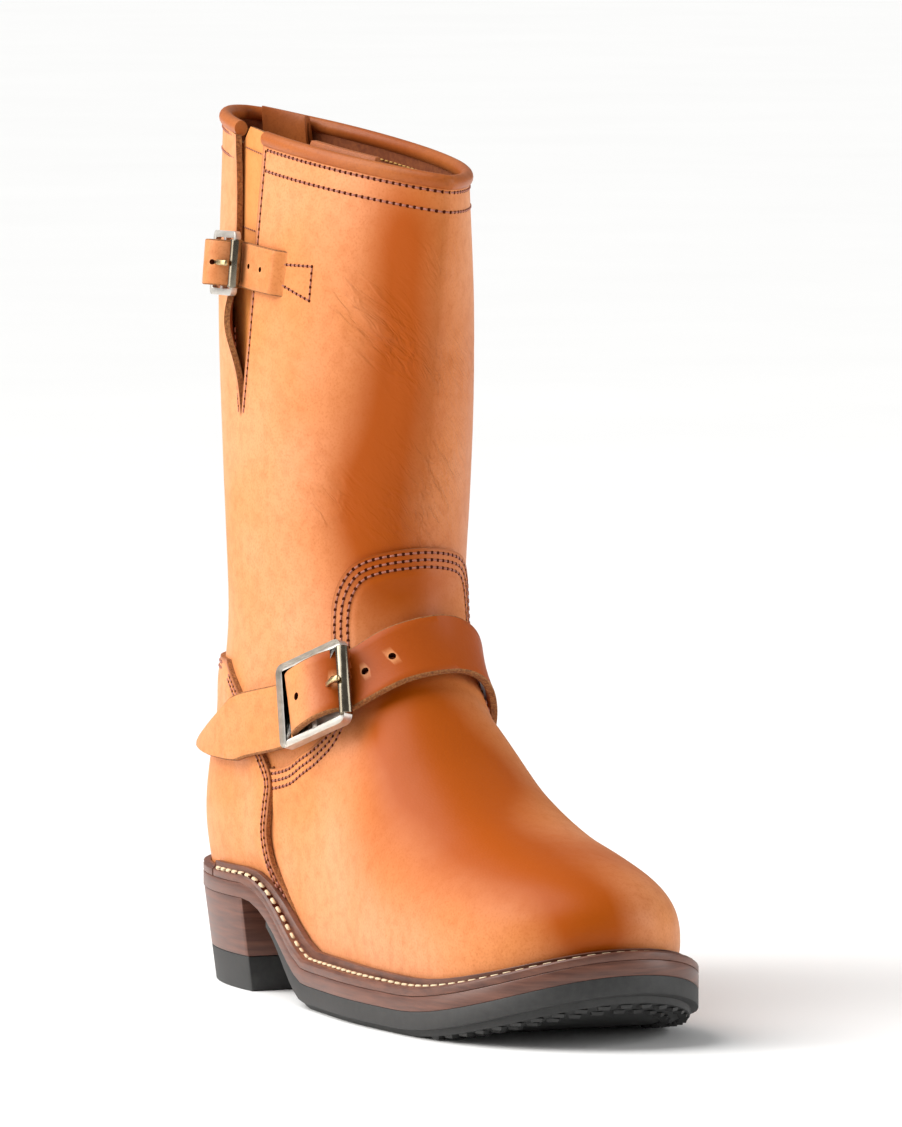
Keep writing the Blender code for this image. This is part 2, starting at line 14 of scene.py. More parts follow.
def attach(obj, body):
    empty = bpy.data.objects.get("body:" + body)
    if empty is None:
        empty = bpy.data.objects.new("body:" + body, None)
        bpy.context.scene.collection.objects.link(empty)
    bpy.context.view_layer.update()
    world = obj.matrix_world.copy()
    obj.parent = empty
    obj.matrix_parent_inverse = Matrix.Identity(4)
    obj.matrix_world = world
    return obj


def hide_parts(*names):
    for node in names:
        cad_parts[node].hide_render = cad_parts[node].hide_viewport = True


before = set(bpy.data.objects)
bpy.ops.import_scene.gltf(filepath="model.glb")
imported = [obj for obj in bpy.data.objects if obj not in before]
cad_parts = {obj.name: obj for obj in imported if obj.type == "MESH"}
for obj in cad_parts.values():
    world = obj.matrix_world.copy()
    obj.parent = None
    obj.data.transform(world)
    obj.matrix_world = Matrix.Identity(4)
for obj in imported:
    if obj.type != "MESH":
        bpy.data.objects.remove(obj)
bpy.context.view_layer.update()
MM = 0.001
print("nodes in the frame:", len(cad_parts))

# %% [markdown]
# ## The last
# A boot is pulled over a wooden last, so one shape rules every piece of leather. It could be drawn as
# a sculpted mesh, but a formula is exact and can be asked for any place: a leg form and a foot form
# flow into each other, and a place on the leather is an angle round the leg (0 back, 90 outer side,
# 180 toe, 270 inner side) and a height above the line where the upper meets the sole.

# %% Sizes of the last in millimetres
GAP = 0.3
HEEL_HEIGHT = 34.7
HEEL_BREAST = 29.0
RUBBER = 8.8
MIDSOLE = 5.2
WELT = 3.2
BALL_START, BALL_END = 92.0, 178.0
TOE_SPRING = 16.0
TOE_TIP, TOE_START, TOE_ROUND = 260.0, 190.0, 2.22
FOOT_BACK, HEEL_CURVE = 35.0, -34.0
BELLY, TUCK, DOME, BLEND = 0.28, 0.05, 2.3, 30.0
ANKLE, SHAFT_CENTRE = 110.0, 4.0
COLLAR, LEAN_START, LEAN_END = 270.0, 150.0, 275.0
COLLAR_FRONT, COLLAR_SIDE = -0.12, -0.10
WALL = 2.2


class Table:
    """A short table with named columns, read smoothly between its rows."""

    def __init__(self, columns, rows):
        self.columns = dict(zip(columns, np.array(rows, float).T))
        self.stations = self.columns[columns[0]]

    def at(self, name, station):
        stations, values = self.stations, self.columns[name]
        slopes = np.gradient(values, stations)
        row = np.clip(np.searchsorted(stations, station) - 1, 0, len(values) - 2)
        step = stations[row + 1] - stations[row]
        t = np.clip((station - stations[row]) / step, 0, 1)
        first = (2 * t**3 - 3 * t**2 + 1) * values[row] + (t**3 - 2 * t**2 + t) * step * slopes[row]
        second = (3 * t**2 - 2 * t**3) * values[row + 1] + (t**3 - t**2) * step * slopes[row + 1]
        return first + second


LEG = Table(
    ("height", "back", "front", "half_width", "centre", "front_fullness", "back_fullness"),
    (
        (38, -33.2, 61.0, 29.5, 0.0, 2.0, 2.1),
        (62, -37.5, 66.0, 33.5, 0.0, 2.0, 2.1),
        (90, -35.4, 72.6, 33.3, 0.5, 2.0, 2.1),
        (120, -32.0, 80.0, 36.0, 1.5, 2.0, 2.1),
        (152, -34.0, 86.0, 39.5, 3.0, 1.8, 2.0),
        (200, -43.0, 95.0, 40.5, 4.2, 1.6, 2.0),
        (252, -55.0, 103.0, 39.0, 5.0, 1.45, 1.9),
        (322, -65.0, 110.0, 32.5, 5.5, 1.35, 1.8),
    ),
)

FOOT = Table(
    ("forward", "lateral", "medial", "top"),
    (
        (0, 29.5, 28.0, 111),
        (40, 30.2, 28.0, 120),
        (75, 36.0, 31.0, 130),
        (110, 40.0, 36.4, 118),
        (145, 44.0, 40.5, 92),
        (175, 44.8, 44.0, 77),
        (205, 44.2, 44.6, 70),
        (260, 41.0, 44.0, 68.5),
    ),
)

MARGIN = Table(("forward", "reach"), ((-40, 3.2), (30, 5.8), (110, 10.0), (190, 9.0), (270, 8.7)))


def ease(t):
    t = np.clip(t, 0, 1)
    return t * t * (3 - 2 * t)


def bell(t):
    return np.exp(-(t**2))


def midsole_floor(x):
    """Height of the midsole's underside: the heel, the arch, the flat ball and the toe spring."""
    heel = HEEL_HEIGHT + 2 * GAP
    ball = RUBBER + GAP
    arch = ease((BALL_START - x) / (BALL_START - HEEL_BREAST))
    toe = np.maximum(0, (x - BALL_END) / (TOE_TIP - BALL_END))
    return ball + (heel - ball) * arch + TOE_SPRING * toe**2


def feather(x):
    """Height of the line where the upper meets the midsole."""
    return midsole_floor(x) + MIDSOLE + GAP


def spine(x):
    return (FOOT.at("medial", x) - FOOT.at("lateral", x)) / 2


def leg_form(x, y, z):
    back, front, half = LEG.at("back", z), LEG.at("front", z), LEG.at("half_width", z)
    ahead = (x - (front + back) / 2) / ((front - back) / 2)
    fullness = np.where(ahead > 0, LEG.at("front_fullness", z), LEG.at("back_fullness", z))
    return (np.sqrt(ahead**2 + np.abs((y - LEG.at("centre", z)) / half) ** fullness) - 1) * half


def foot_form(x, y, z):
    half = (FOOT.at("lateral", x) + FOOT.at("medial", x)) / 2
    across = np.abs(y - spine(x)) / half
    ahead = np.maximum(0, (x - TOE_START) / (TOE_TIP - TOE_START))
    behind = np.maximum(0, (FOOT_BACK - x) / (FOOT_BACK - HEEL_CURVE))
    reach = (ahead**TOE_ROUND + across**TOE_ROUND + behind**TOE_ROUND) ** (1 / TOE_ROUND)
    level = (z - feather(x)) / (FOOT.at("top", x) - feather(x))
    up = np.maximum(0, (level - BELLY) / (1 - BELLY))
    down = np.clip((BELLY - level) / BELLY, 0, 1.5)
    return ((reach**DOME + up**DOME) ** (1 / DOME) + TUCK * down**2 - 1) * half


def last_form(x, y, z):
    """Below zero inside the upper's outer face, above zero outside."""
    leg, foot = leg_form(x, y, z), foot_form(x, y, z)
    near = np.maximum(BLEND - np.abs(leg - foot), 0) / BLEND
    return np.minimum(leg, foot) - near**2 * BLEND / 4


# %% Ask the last for places
def bisect(inside, outside, test):
    inside, outside = np.array(inside, float), np.array(outside, float)
    for _ in range(30):
        middle = (inside + outside) / 2
        beyond = test(middle) > 0
        outside = np.where(beyond, middle, outside)
        inside = np.where(beyond, inside, middle)
    return (inside + outside) / 2


def row_height(x, y, height):
    level = ease(height / ANKLE)
    tilt = ease((height - LEAN_START) / (LEAN_END - LEAN_START))
    lean = tilt * (COLLAR_FRONT * (x - 20) + COLLAR_SIDE * y)
    return feather(x) * (1 - level) + feather(-20.0) * level + height + lean


def skin(angle, height):
    """Points of the upper's outer face at angles in degrees and heights."""
    angle, height = np.broadcast_arrays(np.array(angle, float), np.array(height, float))
    high = ease((height - 60) / 100)

    def middle(x):
        return spine(x) * (1 - high) + SHAFT_CENTRE * high

    def end(x):
        return last_form(x, middle(x), row_height(x, middle(x), height))

    inside = np.full(angle.shape, 20.0)
    back = bisect(inside, inside - 110, end)
    front = bisect(inside, inside + 280, end)
    turn = np.radians(angle)
    x = back + (front - back) * (1 - np.cos(turn)) / 2
    side = np.where(np.sin(turn) >= 0, -1.0, 1.0)
    centre = middle(x)

    def beyond(breadth):
        y = centre + side * breadth
        return last_form(x, y, row_height(x, y, height))

    y = centre + side * bisect(x * 0, x * 0 + 95, beyond)
    return np.stack([x, y, row_height(x, y, height)], -1)


def slope(points):
    step, parts = 0.05, []
    for axis in np.eye(3) * step:
        ahead = last_form(*np.moveaxis(points + axis, -1, 0))
        behind = last_form(*np.moveaxis(points - axis, -1, 0))
        parts.append((ahead - behind) / (2 * step))
    return np.stack(parts, -1)


def unit(vectors):
    return vectors / np.linalg.norm(vectors, axis=-1, keepdims=True)


def outward(points):
    return unit(slope(points))


def settle(points):
    """Moves points along the form's slope onto the upper's outer face."""
    for _ in range(5):
        growth = slope(points)
        value = last_form(*np.moveaxis(points, -1, 0))
        points = points - growth * (value / (growth**2).sum(-1))[..., None]
    return points


def lengths_along(points):
    """Length of a line of points up to each of them."""
    return np.concatenate([[0], np.cumsum(np.linalg.norm(np.diff(points, axis=0), axis=1))])


def read_at(even, lengths, points):
    """Points of a line at given lengths along it."""
    return np.stack([np.interp(even, lengths, points[:, i]) for i in range(3)], 1)


def line_on_last(places, count):
    """Evenly spaced points on the last along a short list of places, with their angles and heights."""
    rows = np.array(places, float)
    share = np.linspace(0, 1, len(rows))
    table = Table(("share", "angle", "height"), np.column_stack([share, rows]))
    fine = np.linspace(0, 1, 60 * len(rows))
    angles, heights = table.at("angle", fine), table.at("height", fine)
    points = skin(angles % 360, heights)
    lengths = lengths_along(points)
    even = np.linspace(0, lengths[-1], count)
    line = settle(read_at(even, lengths, points))
    return line, even, np.interp(even, lengths, angles), np.interp(even, lengths, heights)


def distance_to(points, line):
    """Distance of every point from the nearest point of a line."""
    parts = np.array_split(points.reshape(-1, 3), 60)
    near = [np.sqrt(((part[:, None] - line[None]) ** 2).sum(-1)).min(1) for part in parts]
    return np.concatenate(near).reshape(points.shape[:-1])


def nearest(values, wanted):
    """Place in a list of the value nearest to the wanted one."""
    return int(np.argmin(np.abs(values - wanted)))


toe = skin(180.0, 20.0)
print("the toe is", round(float(toe[0]), 1), "mm ahead of the heel's middle")

# %% [markdown]
# ## Finishes
# Each finish starts from the real stuff. The upper is oiled pull-up cowhide: waxy, satin, butterscotch
# with burnt orange where rubbing has darkened the wax, and the same burnt orange is painted in as shade
# where the light falls off. The raw edges and the inside show brown flesh side. The sole edge is stained
# leather polished with a burnishing iron; the half sole and heel lift are moulded rubber, and the buckles
# antiqued steel. Needle holes and punched holes are painted with shade. Colours are sRGB hex values that
# one function turns to linear, and pattern scales come from sizes in millimetres.

# %% Colours and nodes
def linear(code):
    values = [int(code[i : i + 2], 16) / 255 for i in (1, 3, 5)]
    return (*[v / 12.92 if v <= 0.04045 else ((v + 0.055) / 1.055) ** 2.4 for v in values], 1.0)


def per_metre(size_mm):
    """Scale of a pattern whose features are this many millimetres wide."""
    return 1000.0 / size_mm


def add(tree, kind, settings, links=None):
    """Adds a node, sets its options or sockets and links its inputs."""
    node = tree.nodes.new(kind)
    for key, value in settings.items():
        if isinstance(key, str) and hasattr(node, key):
            setattr(node, key, value)
        else:
            node.inputs[key].default_value = value
    for key, source in (links or {}).items():
        tree.links.new(source, node.inputs[key])
    return node


def start_material(name, roughness, **sockets):
    material = bpy.data.materials.new(name)
    material.use_nodes = True
    tree = material.node_tree
    shader = tree.nodes["Principled BSDF"]
    shader.inputs["Roughness"].default_value = roughness
    for key, value in sockets.items():
        shader.inputs[key.replace("_", " ").title().replace("Ior", "IOR")].default_value = value
    place = add(tree, "ShaderNodeTexCoord", {}).outputs["Object"]
    return material, tree, shader, place


def noise(tree, vector, size_mm, detail, **sockets):
    settings = {"Scale": per_metre(size_mm), "Detail": detail, **sockets}
    return add(tree, "ShaderNodeTexNoise", settings, {"Vector": vector}).outputs["Fac"]


def ranged(tree, value, low=0.0, high=1.0, to_low=0.0, to_high=1.0):
    """Stretches a value from one range to another."""
    settings = {"From Min": low, "From Max": high, "To Min": to_low, "To Max": to_high}
    return add(tree, "ShaderNodeMapRange", settings, {"Value": value}).outputs["Result"]


def blend(tree, factor, first, second):
    """Mixes two colours, each a hex value or the result of an earlier mix."""
    settings, links = {"data_type": "RGBA"}, {"Factor": factor}
    for socket, colour in ((6, first), (7, second)):
        if isinstance(colour, str):
            settings[socket] = linear(colour)
        else:
            links[socket] = colour
    return add(tree, "ShaderNodeMix", settings, links).outputs[2]


def wire_up(tree, shader, tone, roughness, normal):
    for socket, value in (("Base Color", tone), ("Roughness", roughness), ("Normal", normal)):
        tree.links.new(value, shader.inputs[socket])


def painted(tree, name, output="Fac"):
    """A value painted on the piece as an attribute."""
    return add(tree, "ShaderNodeAttribute", {"attribute_name": name}).outputs[output]


def bumped(tree, height, strength, depth_mm, links=None):
    settings = {"Strength": strength, "Distance": depth_mm * MM}
    return add(tree, "ShaderNodeBump", settings, {"Height": height, **(links or {})}).outputs["Normal"]


# %% [markdown]
# ### Pull-up leather
# Three sizes of noise give the hide its clouds, mottles and pores. Attributes painted on each panel say
# where it is worn dark by rubbing and painted with shade, where a crease has pulled the wax pale and where
# a cut edge is darker. A cell pattern of about a millimetre is the grain: the real one is finer, and is
# drawn this coarse to show.

# %% Leather
WRINKLE_TILT, WRINKLE_STRETCH = math.radians(-32), (3.6, 1.0, 1.0)


def leather(name, pale, middle, burnt, edge, roughness=0.46, grain=0.14):
    material, tree, shader, place = start_material(
        name, roughness, coat_weight=0.08, coat_roughness=0.34, specular_ior_level=0.14
    )
    cloud = noise(tree, place, 60, 2.0)
    mottle = noise(tree, place, 5, 5.0)
    fine = noise(tree, place, 0.9, 2.0)
    pores = add(tree, "ShaderNodeTexVoronoi", {"Scale": per_metre(1.0)}, {"Vector": place})
    tone = blend(tree, ranged(tree, cloud, 0.36, 0.66), middle, pale)
    for speck, low, high, most in ((mottle, 0.45, 0.8, 0.28), (fine, 0.48, 0.75, 0.3)):
        tone = blend(tree, ranged(tree, speck, low, high, to_high=most), tone, burnt)
    # The first attribute here lays on the burnt tone: wax worn dark by rubbing, and painted shade.
    for attribute, colour in (("burnish_and_shade", burnt), ("pull", pale), ("cut", edge)):
        tone = blend(tree, painted(tree, attribute), tone, colour)
    wax = ranged(tree, mottle, to_low=roughness - 0.07, to_high=roughness + 0.08)
    pitted = {0: pores.outputs["Distance"], 2: mottle}
    hide = add(tree, "ShaderNodeMath", {"operation": "MULTIPLY_ADD", 1: 0.4}, pitted)
    grained = bumped(tree, hide.outputs["Value"], grain, 0.6)
    turned = add(
        tree,
        "ShaderNodeMapping",
        {"vector_type": "TEXTURE", "Rotation": (0, 0, WRINKLE_TILT), "Scale": WRINKLE_STRETCH},
        {"Vector": painted(tree, "laid", "Vector")},
    )
    lines = noise(tree, turned.outputs["Vector"], 3.6, 2.5, Roughness=0.55, Distortion=0.8)
    masked = {0: lines, 1: painted(tree, "wrinkle")}
    depth = add(tree, "ShaderNodeMath", {"operation": "MULTIPLY"}, masked)
    folds = bumped(tree, depth.outputs["Value"], 1.0, 1.8, {"Normal": grained})
    wire_up(tree, shader, tone, wax, folds)
    return material


tan = leather("pull_up_cowhide", "#E69C6C", "#DE8E52", "#AC4E02", "#7A3A16")
strap_tan = leather("strap_cowhide", "#E49A68", "#D88C50", "#A84800", "#6B3315", 0.42)
binding_tan = leather("binding_calf", "#B86A34", "#A65524", "#823C12", "#6B3315", 0.38, 0.1)
gusset_tan = leather("gusset_calf", "#DF9456", "#D48440", "#B86A26", "#7A3A16", 0.48, 0.1)
print("leathers:", tan.name, strap_tan.name, binding_tan.name, gusset_tan.name)


# %% [markdown]
# ### Flesh side, sole leather, rubber, steel and thread
# One pattern serves these: a noise, stretched along one way where the stuff has a run to it, mixes two
# colours and raises a bump. Cut edges are fibrous, the sole edge keeps the streaks of the burnishing iron,
# and the steel has cloudy patina.

# %% Other finishes
def mixed(name, first, second, size, stretch, roughness, bump_mm, strength, **sockets):
    material, tree, shader, place = start_material(name, roughness, **sockets)
    mapping = add(tree, "ShaderNodeMapping", {"Scale": stretch}, {"Vector": place})
    cloud = noise(tree, mapping.outputs["Vector"], size, 6.0, Roughness=0.62)
    tone = blend(tree, ranged(tree, cloud, 0.3, 0.7), first, second)
    sheen = ranged(tree, cloud, to_low=roughness - 0.06, to_high=roughness + 0.06)
    wire_up(tree, shader, tone, sheen, bumped(tree, cloud, strength, bump_mm))
    return material


EVEN, IRONED = (1.0, 1.0, 1.0), (0.25, 0.25, 4.0)
raw_edge = mixed("cut_leather_edge", "#663414", "#B87C44", 0.9, EVEN, 0.85, 0.5, 0.8)
flesh = mixed("flesh_side_suede", "#783818", "#9E582C", 2.0, EVEN, 0.9, 0.3, 0.5)
sole_edge_stain = mixed("burnished_sole_leather", "#4C2C22", "#754A3A", 6.0, IRONED, 0.38, 0.15, 0.3)
welt_stain = mixed("stained_welt_leather", "#4E2B20", "#774A37", 5.0, (0.4, 0.4, 2.0), 0.4, 0.15, 0.3)
rubber = mixed("moulded_rubber", "#262626", "#343433", 3.0, EVEN, 0.6, 0.08, 0.25)
steel = mixed("antiqued_steel", "#BEBAB2", "#DCD8D2", 2.5, (0.3, 1.0, 1.0), 0.5, 0.04, 0.2, metallic=1.0)
roller_steel = mixed("dark_roller_steel", "#6A6255", "#8C8474", 4.0, EVEN, 0.2, 0.02, 0.1, metallic=1.0)
prong_steel = mixed("worn_prong_steel", "#A08C64", "#C8B68C", 2.0, EVEN, 0.3, 0.02, 0.1, metallic=1.0)
cream_thread = mixed("waxed_linen_thread", "#CDB48A", "#EBDCBB", 0.6, EVEN, 0.6, 0.15, 0.5)
brown_thread = mixed("brown_thread", "#945040", "#B87A66", 0.6, EVEN, 0.6, 0.15, 0.5)
gold_thread = mixed("gold_thread", "#B98A3A", "#D9AE5C", 0.6, EVEN, 0.6, 0.15, 0.5)
# Painted shade for holes: flat discs at the needle holes, and the walls of the punched strap holes, take this
# near-black colour.
hole_shade = mixed("painted_hole_shade", "#3C170B", "#4E2212", 1.0, EVEN, 0.9, 0.05, 0.1, specular_ior_level=0.0)
print("other finishes made")

# %% [markdown]
# ## Laying leather on the last
# A panel begins as a flat grid, as a maker begins with a flat cut piece. Its corners could be pulled
# into place by hand, but a boot has thousands of them, so each takes its place from the last. Solidify
# then gives the leather its thickness, and the new faces at the rim take the colour of a cut edge.

# %% Panels
MERGE = 0.000002


def new_object(name, data):
    item = bpy.data.objects.new(name, data)
    bpy.context.scene.collection.objects.link(item)
    return item


def mode(name):
    bpy.ops.object.mode_set(mode=name)


def select_only(piece):
    bpy.ops.object.select_all(action="DESELECT")
    piece.select_set(True)
    bpy.context.view_layer.objects.active = piece


def lay_grid(name, points, materials, attributes=None):
    """A grid primitive with its corners laid on rows and columns of millimetre points."""
    rows, columns = points.shape[:2]
    bpy.ops.object.select_all(action="DESELECT")
    bpy.ops.mesh.primitive_grid_add(x_subdivisions=columns - 1, y_subdivisions=rows - 1, size=1)
    piece = bpy.context.object
    piece.name = piece.data.name = name
    piece.data.vertices.foreach_set("co", (points * MM).ravel())
    for key, values in (attributes or {}).items():
        flat = np.ndim(values) < 3
        layer = piece.data.attributes.new(key, "FLOAT" if flat else "FLOAT_VECTOR", "POINT")
        layer.data.foreach_set("value" if flat else "vector", np.ravel(values))
    for material in materials:
        piece.data.materials.append(material)
    piece.data.update()
    return piece


def weld(piece, fill=False, flatten=False):
    """Merges the corners that meet, and closes open ends or joins flat faces if asked."""
    select_only(piece)
    mode("EDIT")
    bpy.ops.mesh.select_all(action="SELECT")
    bpy.ops.mesh.remove_doubles(threshold=MERGE)
    if fill:
        bpy.ops.mesh.fill_holes(sides=0)
        bpy.ops.mesh.select_all(action="SELECT")
        bpy.ops.mesh.normals_make_consistent(inside=False)
    if flatten:
        bpy.ops.mesh.dissolve_limited(angle_limit=math.radians(0.6))
    mode("OBJECT")


def apply(piece, kind, **settings):
    select_only(piece)
    modifier = piece.modifiers.new(kind.lower(), kind)
    for key, value in settings.items():
        setattr(modifier, key, value)
    bpy.ops.object.modifier_apply(modifier=modifier.name)


def thicken(piece, thick, **settings):
    """Gives a panel its thickness, inwards, with a cut edge at its rim."""
    apply(piece, "SOLIDIFY", thickness=thick * MM, offset=-1.0, material_offset_rim=1, **settings)


def soften(piece, width, segments, sharp=0.6):
    """Bevels the edges that are sharper than an angle in radians."""
    settings = {"segments": segments, "limit_method": "ANGLE", "angle_limit": sharp}
    apply(piece, "BEVEL", width=width * MM, **settings)


def cylinder(centre, axis, radius, depth, sides, material):
    """A cylinder about an axis, in metres."""
    bpy.ops.object.select_all(action="DESELECT")
    bpy.ops.mesh.primitive_cylinder_add(vertices=sides, radius=radius, depth=depth)
    piece = bpy.context.object
    piece.data.materials.append(material)
    turn = Vector(axis).to_track_quat("Z", "Y").to_matrix().to_4x4()
    piece.matrix_world = Matrix.Translation(Vector(centre)) @ turn
    bpy.ops.object.transform_apply(location=True, rotation=True, scale=True)
    return piece


def hand_over(piece, replaces=(), angle=50):
    """Smooths a piece and lets it ride on the boot."""
    select_only(piece)
    bpy.ops.object.shade_smooth_by_angle(angle=math.radians(angle))
    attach(piece, "root")
    if replaces:
        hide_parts(*replaces)
    piece.data.calc_loop_triangles()
    print(piece.name, len(piece.data.loop_triangles), "triangles")


# %% [markdown]
# ## Where the panels end
# The vamp is cut with an ear on each side that runs up under the strap to a round tongue on the shaft.
# The heel counter lies over the vamp and its front edge is the raised side seam. Both are sewn on top
# of the shaft, so near an edge they stand a leather's thickness proud, and further in they sink flush
# because the shaft's own leather stops beneath them.

# %% Edges of vamp and counter
OUTER_VAMP = (
    (60, 42), (68, 44), (78, 47), (90, 53), (100, 59), (112, 65), (121, 70), (128, 78), (132, 88),
    (134, 98), (136, 107), (139, 114), (144, 120), (151, 123.5), (160, 125.5), (170, 126.6), (180, 127),
)
VAMP_EDGE = OUTER_VAMP + tuple((360 - angle, height) for angle, height in OUTER_VAMP[-2::-1])
SEAM = Table(
    ("height", "angle"),
    ((0, 77), (5, 74), (8, 71), (12, 69), (20, 68), (34, 71), (49, 77.5), (60, 77), (70, 73), (81, 63)),
)
COUNTER_TOP = 81.0
PANEL = 1.8
SINK = 2.2
TUCKED = 0.15

vamp_line, vamp_run, vamp_angles, vamp_heights = line_on_last(VAMP_EDGE, count=320)
seam_heights = np.linspace(0, COUNTER_TOP, 120)
seam_line = skin(SEAM.at("angle", seam_heights), seam_heights)
inner_seam_line = skin(360 - SEAM.at("angle", seam_heights), seam_heights)
across_back = np.linspace(-63, 63, 80)
top_line = skin(across_back % 360, COUNTER_TOP)
counter_line = np.concatenate([seam_line, inner_seam_line, top_line])


def inside_vamp(points, angles, heights):
    """Distance inside the vamp's edge, or below zero outside it."""
    edge = np.interp(angles, vamp_angles, vamp_heights, left=0, right=0)
    return distance_to(points, vamp_line) * np.where(heights < edge, 1, -1)


def inside_counter(points, angles, heights):
    turned = np.where(angles > 180, 360 - angles, angles)
    within = (heights < COUNTER_TOP) & (turned < SEAM.at("angle", heights))
    return distance_to(points, counter_line) * np.where(within, 1, -1)


def vamp_face(depth):
    """How far the vamp's outer face stands off the last, by its distance inside the edge."""
    return PANEL + TUCKED - SINK * ease((depth - 4) / 18)


def counter_face(depth, heights):
    proud = 1.85 - 1.9 * ease((depth - 6) / 18)
    return PANEL - 1.75 + proud * ease((heights - 3) / 12)


print("the vamp's edge is", round(float(vamp_run[-1])), "mm long")

# %% [markdown]
# ## Creases, wear and painted shade
# A new boot has only a few creases. Each of the main ones is a soft trough with a small ridge beside it,
# drawn between two places on the shaft, with a bow. The fine wrinkles between them are too small for the
# panel's grid, so soft patches say where the leather's bump shows them. Another list of soft patches
# darkens the leather to its burnt tone: partly wax worn dark by rubbing, partly painted shade down the
# front of the shaft, across the vamp and by the welt at the toe.

# %% Creases
CREASES = (
    (122, 227, 150, 206, -1.5, 0.32, 2.6),
    (126, 219, 154, 199, -1.0, 0.3, 2.4),
    (166, 203, 211, 196, 1.5, 0.26, 2.4),
    (168, 168, 219, 147, 2.0, 0.42, 2.8),
    (173, 158, 214, 140, 1.5, 0.3, 2.4),
    (108, 148, 143, 141, 1.0, 0.3, 2.6),
    (160, 142, 193, 129, 1.5, 0.34, 2.4),
    (100, 188, 126, 186, 1.0, 0.2, 2.6),
    (152, 262, 150, 140, 2.0, 0.9, 11.0),
    (232, 215, 258, 200, 2.0, 0.35, 2.6),
    (228, 204, 252, 190, 2.0, 0.3, 2.5),
)


def creased(points, sides):
    """How far the creases move each point along its side, and how much they pull the wax pale."""
    move, pull = np.zeros(points.shape[:-1]), np.zeros(points.shape[:-1])
    for from_angle, from_height, to_angle, to_height, bow, depth, width in CREASES:
        first, last = skin(from_angle % 360, from_height), skin(to_angle % 360, to_height)
        run = last - first
        length = np.linalg.norm(run)
        share = (points - first) @ run / length**2
        across = np.cross(sides, run / length)
        offset = ((points - first) * across).sum(-1) - bow * np.sin(np.pi * np.clip(share, 0, 1))
        away = np.linalg.norm(points - (first + last) / 2, axis=-1) - length
        fade = ease(share / 0.4) * ease((1 - share) / 0.4) * bell(np.maximum(0, away) / 5)
        trough = bell(offset / width)
        ridge = bell((offset - 2.1 * width) / width)
        move += depth * fade * (0.5 * ridge - trough)
        pull += (depth < 0.8) * fade * 0.1 * ridge
    return move, np.clip(pull, 0, 0.2)


# %% Wrinkled patches, and patches of wax wear with painted shade
WRINKLES = (
    (134, 218, 14, 0.9), (147, 207, 12, 0.9), (114, 184, 13, 0.5), (188, 196, 13, 0.8), (178, 240, 10, 0.4),
    (194, 156, 15, 1.0), (126, 145, 15, 0.8), (177, 136, 13, 0.9), (115, 98, 12, 0.4), (226, 196, 16, 0.7),
    (240, 150, 18, 0.7), (300, 114, 18, 0.6), (0, 110, 20, 0.7), (60, 114, 14, 0.4),
)
# Soft patches of the burnt tone: partly wax worn dark by rubbing, partly painted shade where the light falls
# off on the front of the shaft, across the vamp and by the welt at the toe.
BURNISH_AND_SHADE = (
    (153, 260, 18, 0.7), (154, 240, 17, 0.6), (155, 218, 17, 0.6), (156, 196, 17, 0.6), (156, 174, 18, 0.6),
    (153, 152, 19, 0.65), (150, 132, 18, 0.5), (132, 225, 24, 0.2), (133, 180, 24, 0.22), (140, 146, 18, 0.3),
    (160, 110, 22, 0.7), (190, 112, 20, 0.4), (168, 62, 22, 0.7), (184, 60, 24, 0.8), (166, 50, 24, 0.6),
    (163, 42, 24, 0.55), (167, 32, 22, 0.55), (171, 20, 20, 0.7), (172, 8, 15, 0.6), (142, 54, 28, 0.3),
    (122, 46, 30, 0.25), (130, 38, 30, 0.25), (146, 42, 24, 0.35), (150, 32, 20, 0.3), (196, 40, 26, 0.6),
    (158, 76, 18, 0.6), (178, 78, 22, 0.6), (146, 68, 18, 0.35), (222, 200, 30, 0.4), (240, 140, 40, 0.45),
    (255, 60, 30, 0.4), (340, 60, 30, 0.3), (20, 16, 18, 0.2),
)


def patches(points, spots, most):
    """Soft round patches on the leather, from their angles, heights, radii and strengths."""
    shade = np.zeros(points.shape[:-1])
    for angle, height, radius, strength in spots:
        spot = skin(float(angle), float(height))
        shade += strength * np.exp(-(((points - spot) ** 2).sum(-1)) / radius**2)
    return np.clip(shade, 0, most)


# Wax worn dark by rubbing and painted shade, summed into one mask.
def wax_wear_and_shade(points):
    return patches(points, BURNISH_AND_SHADE, 1.0)


print("creases:", len(CREASES), "wrinkled patches:", len(WRINKLES), "burnished:", len(BURNISH_AND_SHADE))

# %% [markdown]
# ## The shaft
# The shaft is one wall from the collar to the sole, open at the top, underneath and down the slit. The
# raw edge behind the slit curls outwards, as thick leather does.

# %% Shaft
SLIT_ANGLE, SLIT_FOOT, SLIT_OPEN = 83.0, 172.0, 12.0
FRONT_OPEN, FRONT_RUN = 6.0, 60.0
COLLAR_DEGREE, LAID_DEGREE = 1.39, 1.2


def slit_climb(height):
    """Share of the way up the slit."""
    return np.clip((height - SLIT_FOOT) / (COLLAR - SLIT_FOOT), 0, 1)


def slit_front(height):
    """Angle of the slit's front edge, which opens most just above its foot."""
    return SLIT_ANGLE + FRONT_OPEN * (1 - (1 - np.clip((height - SLIT_FOOT) / FRONT_RUN, 0, 1)) ** 2)


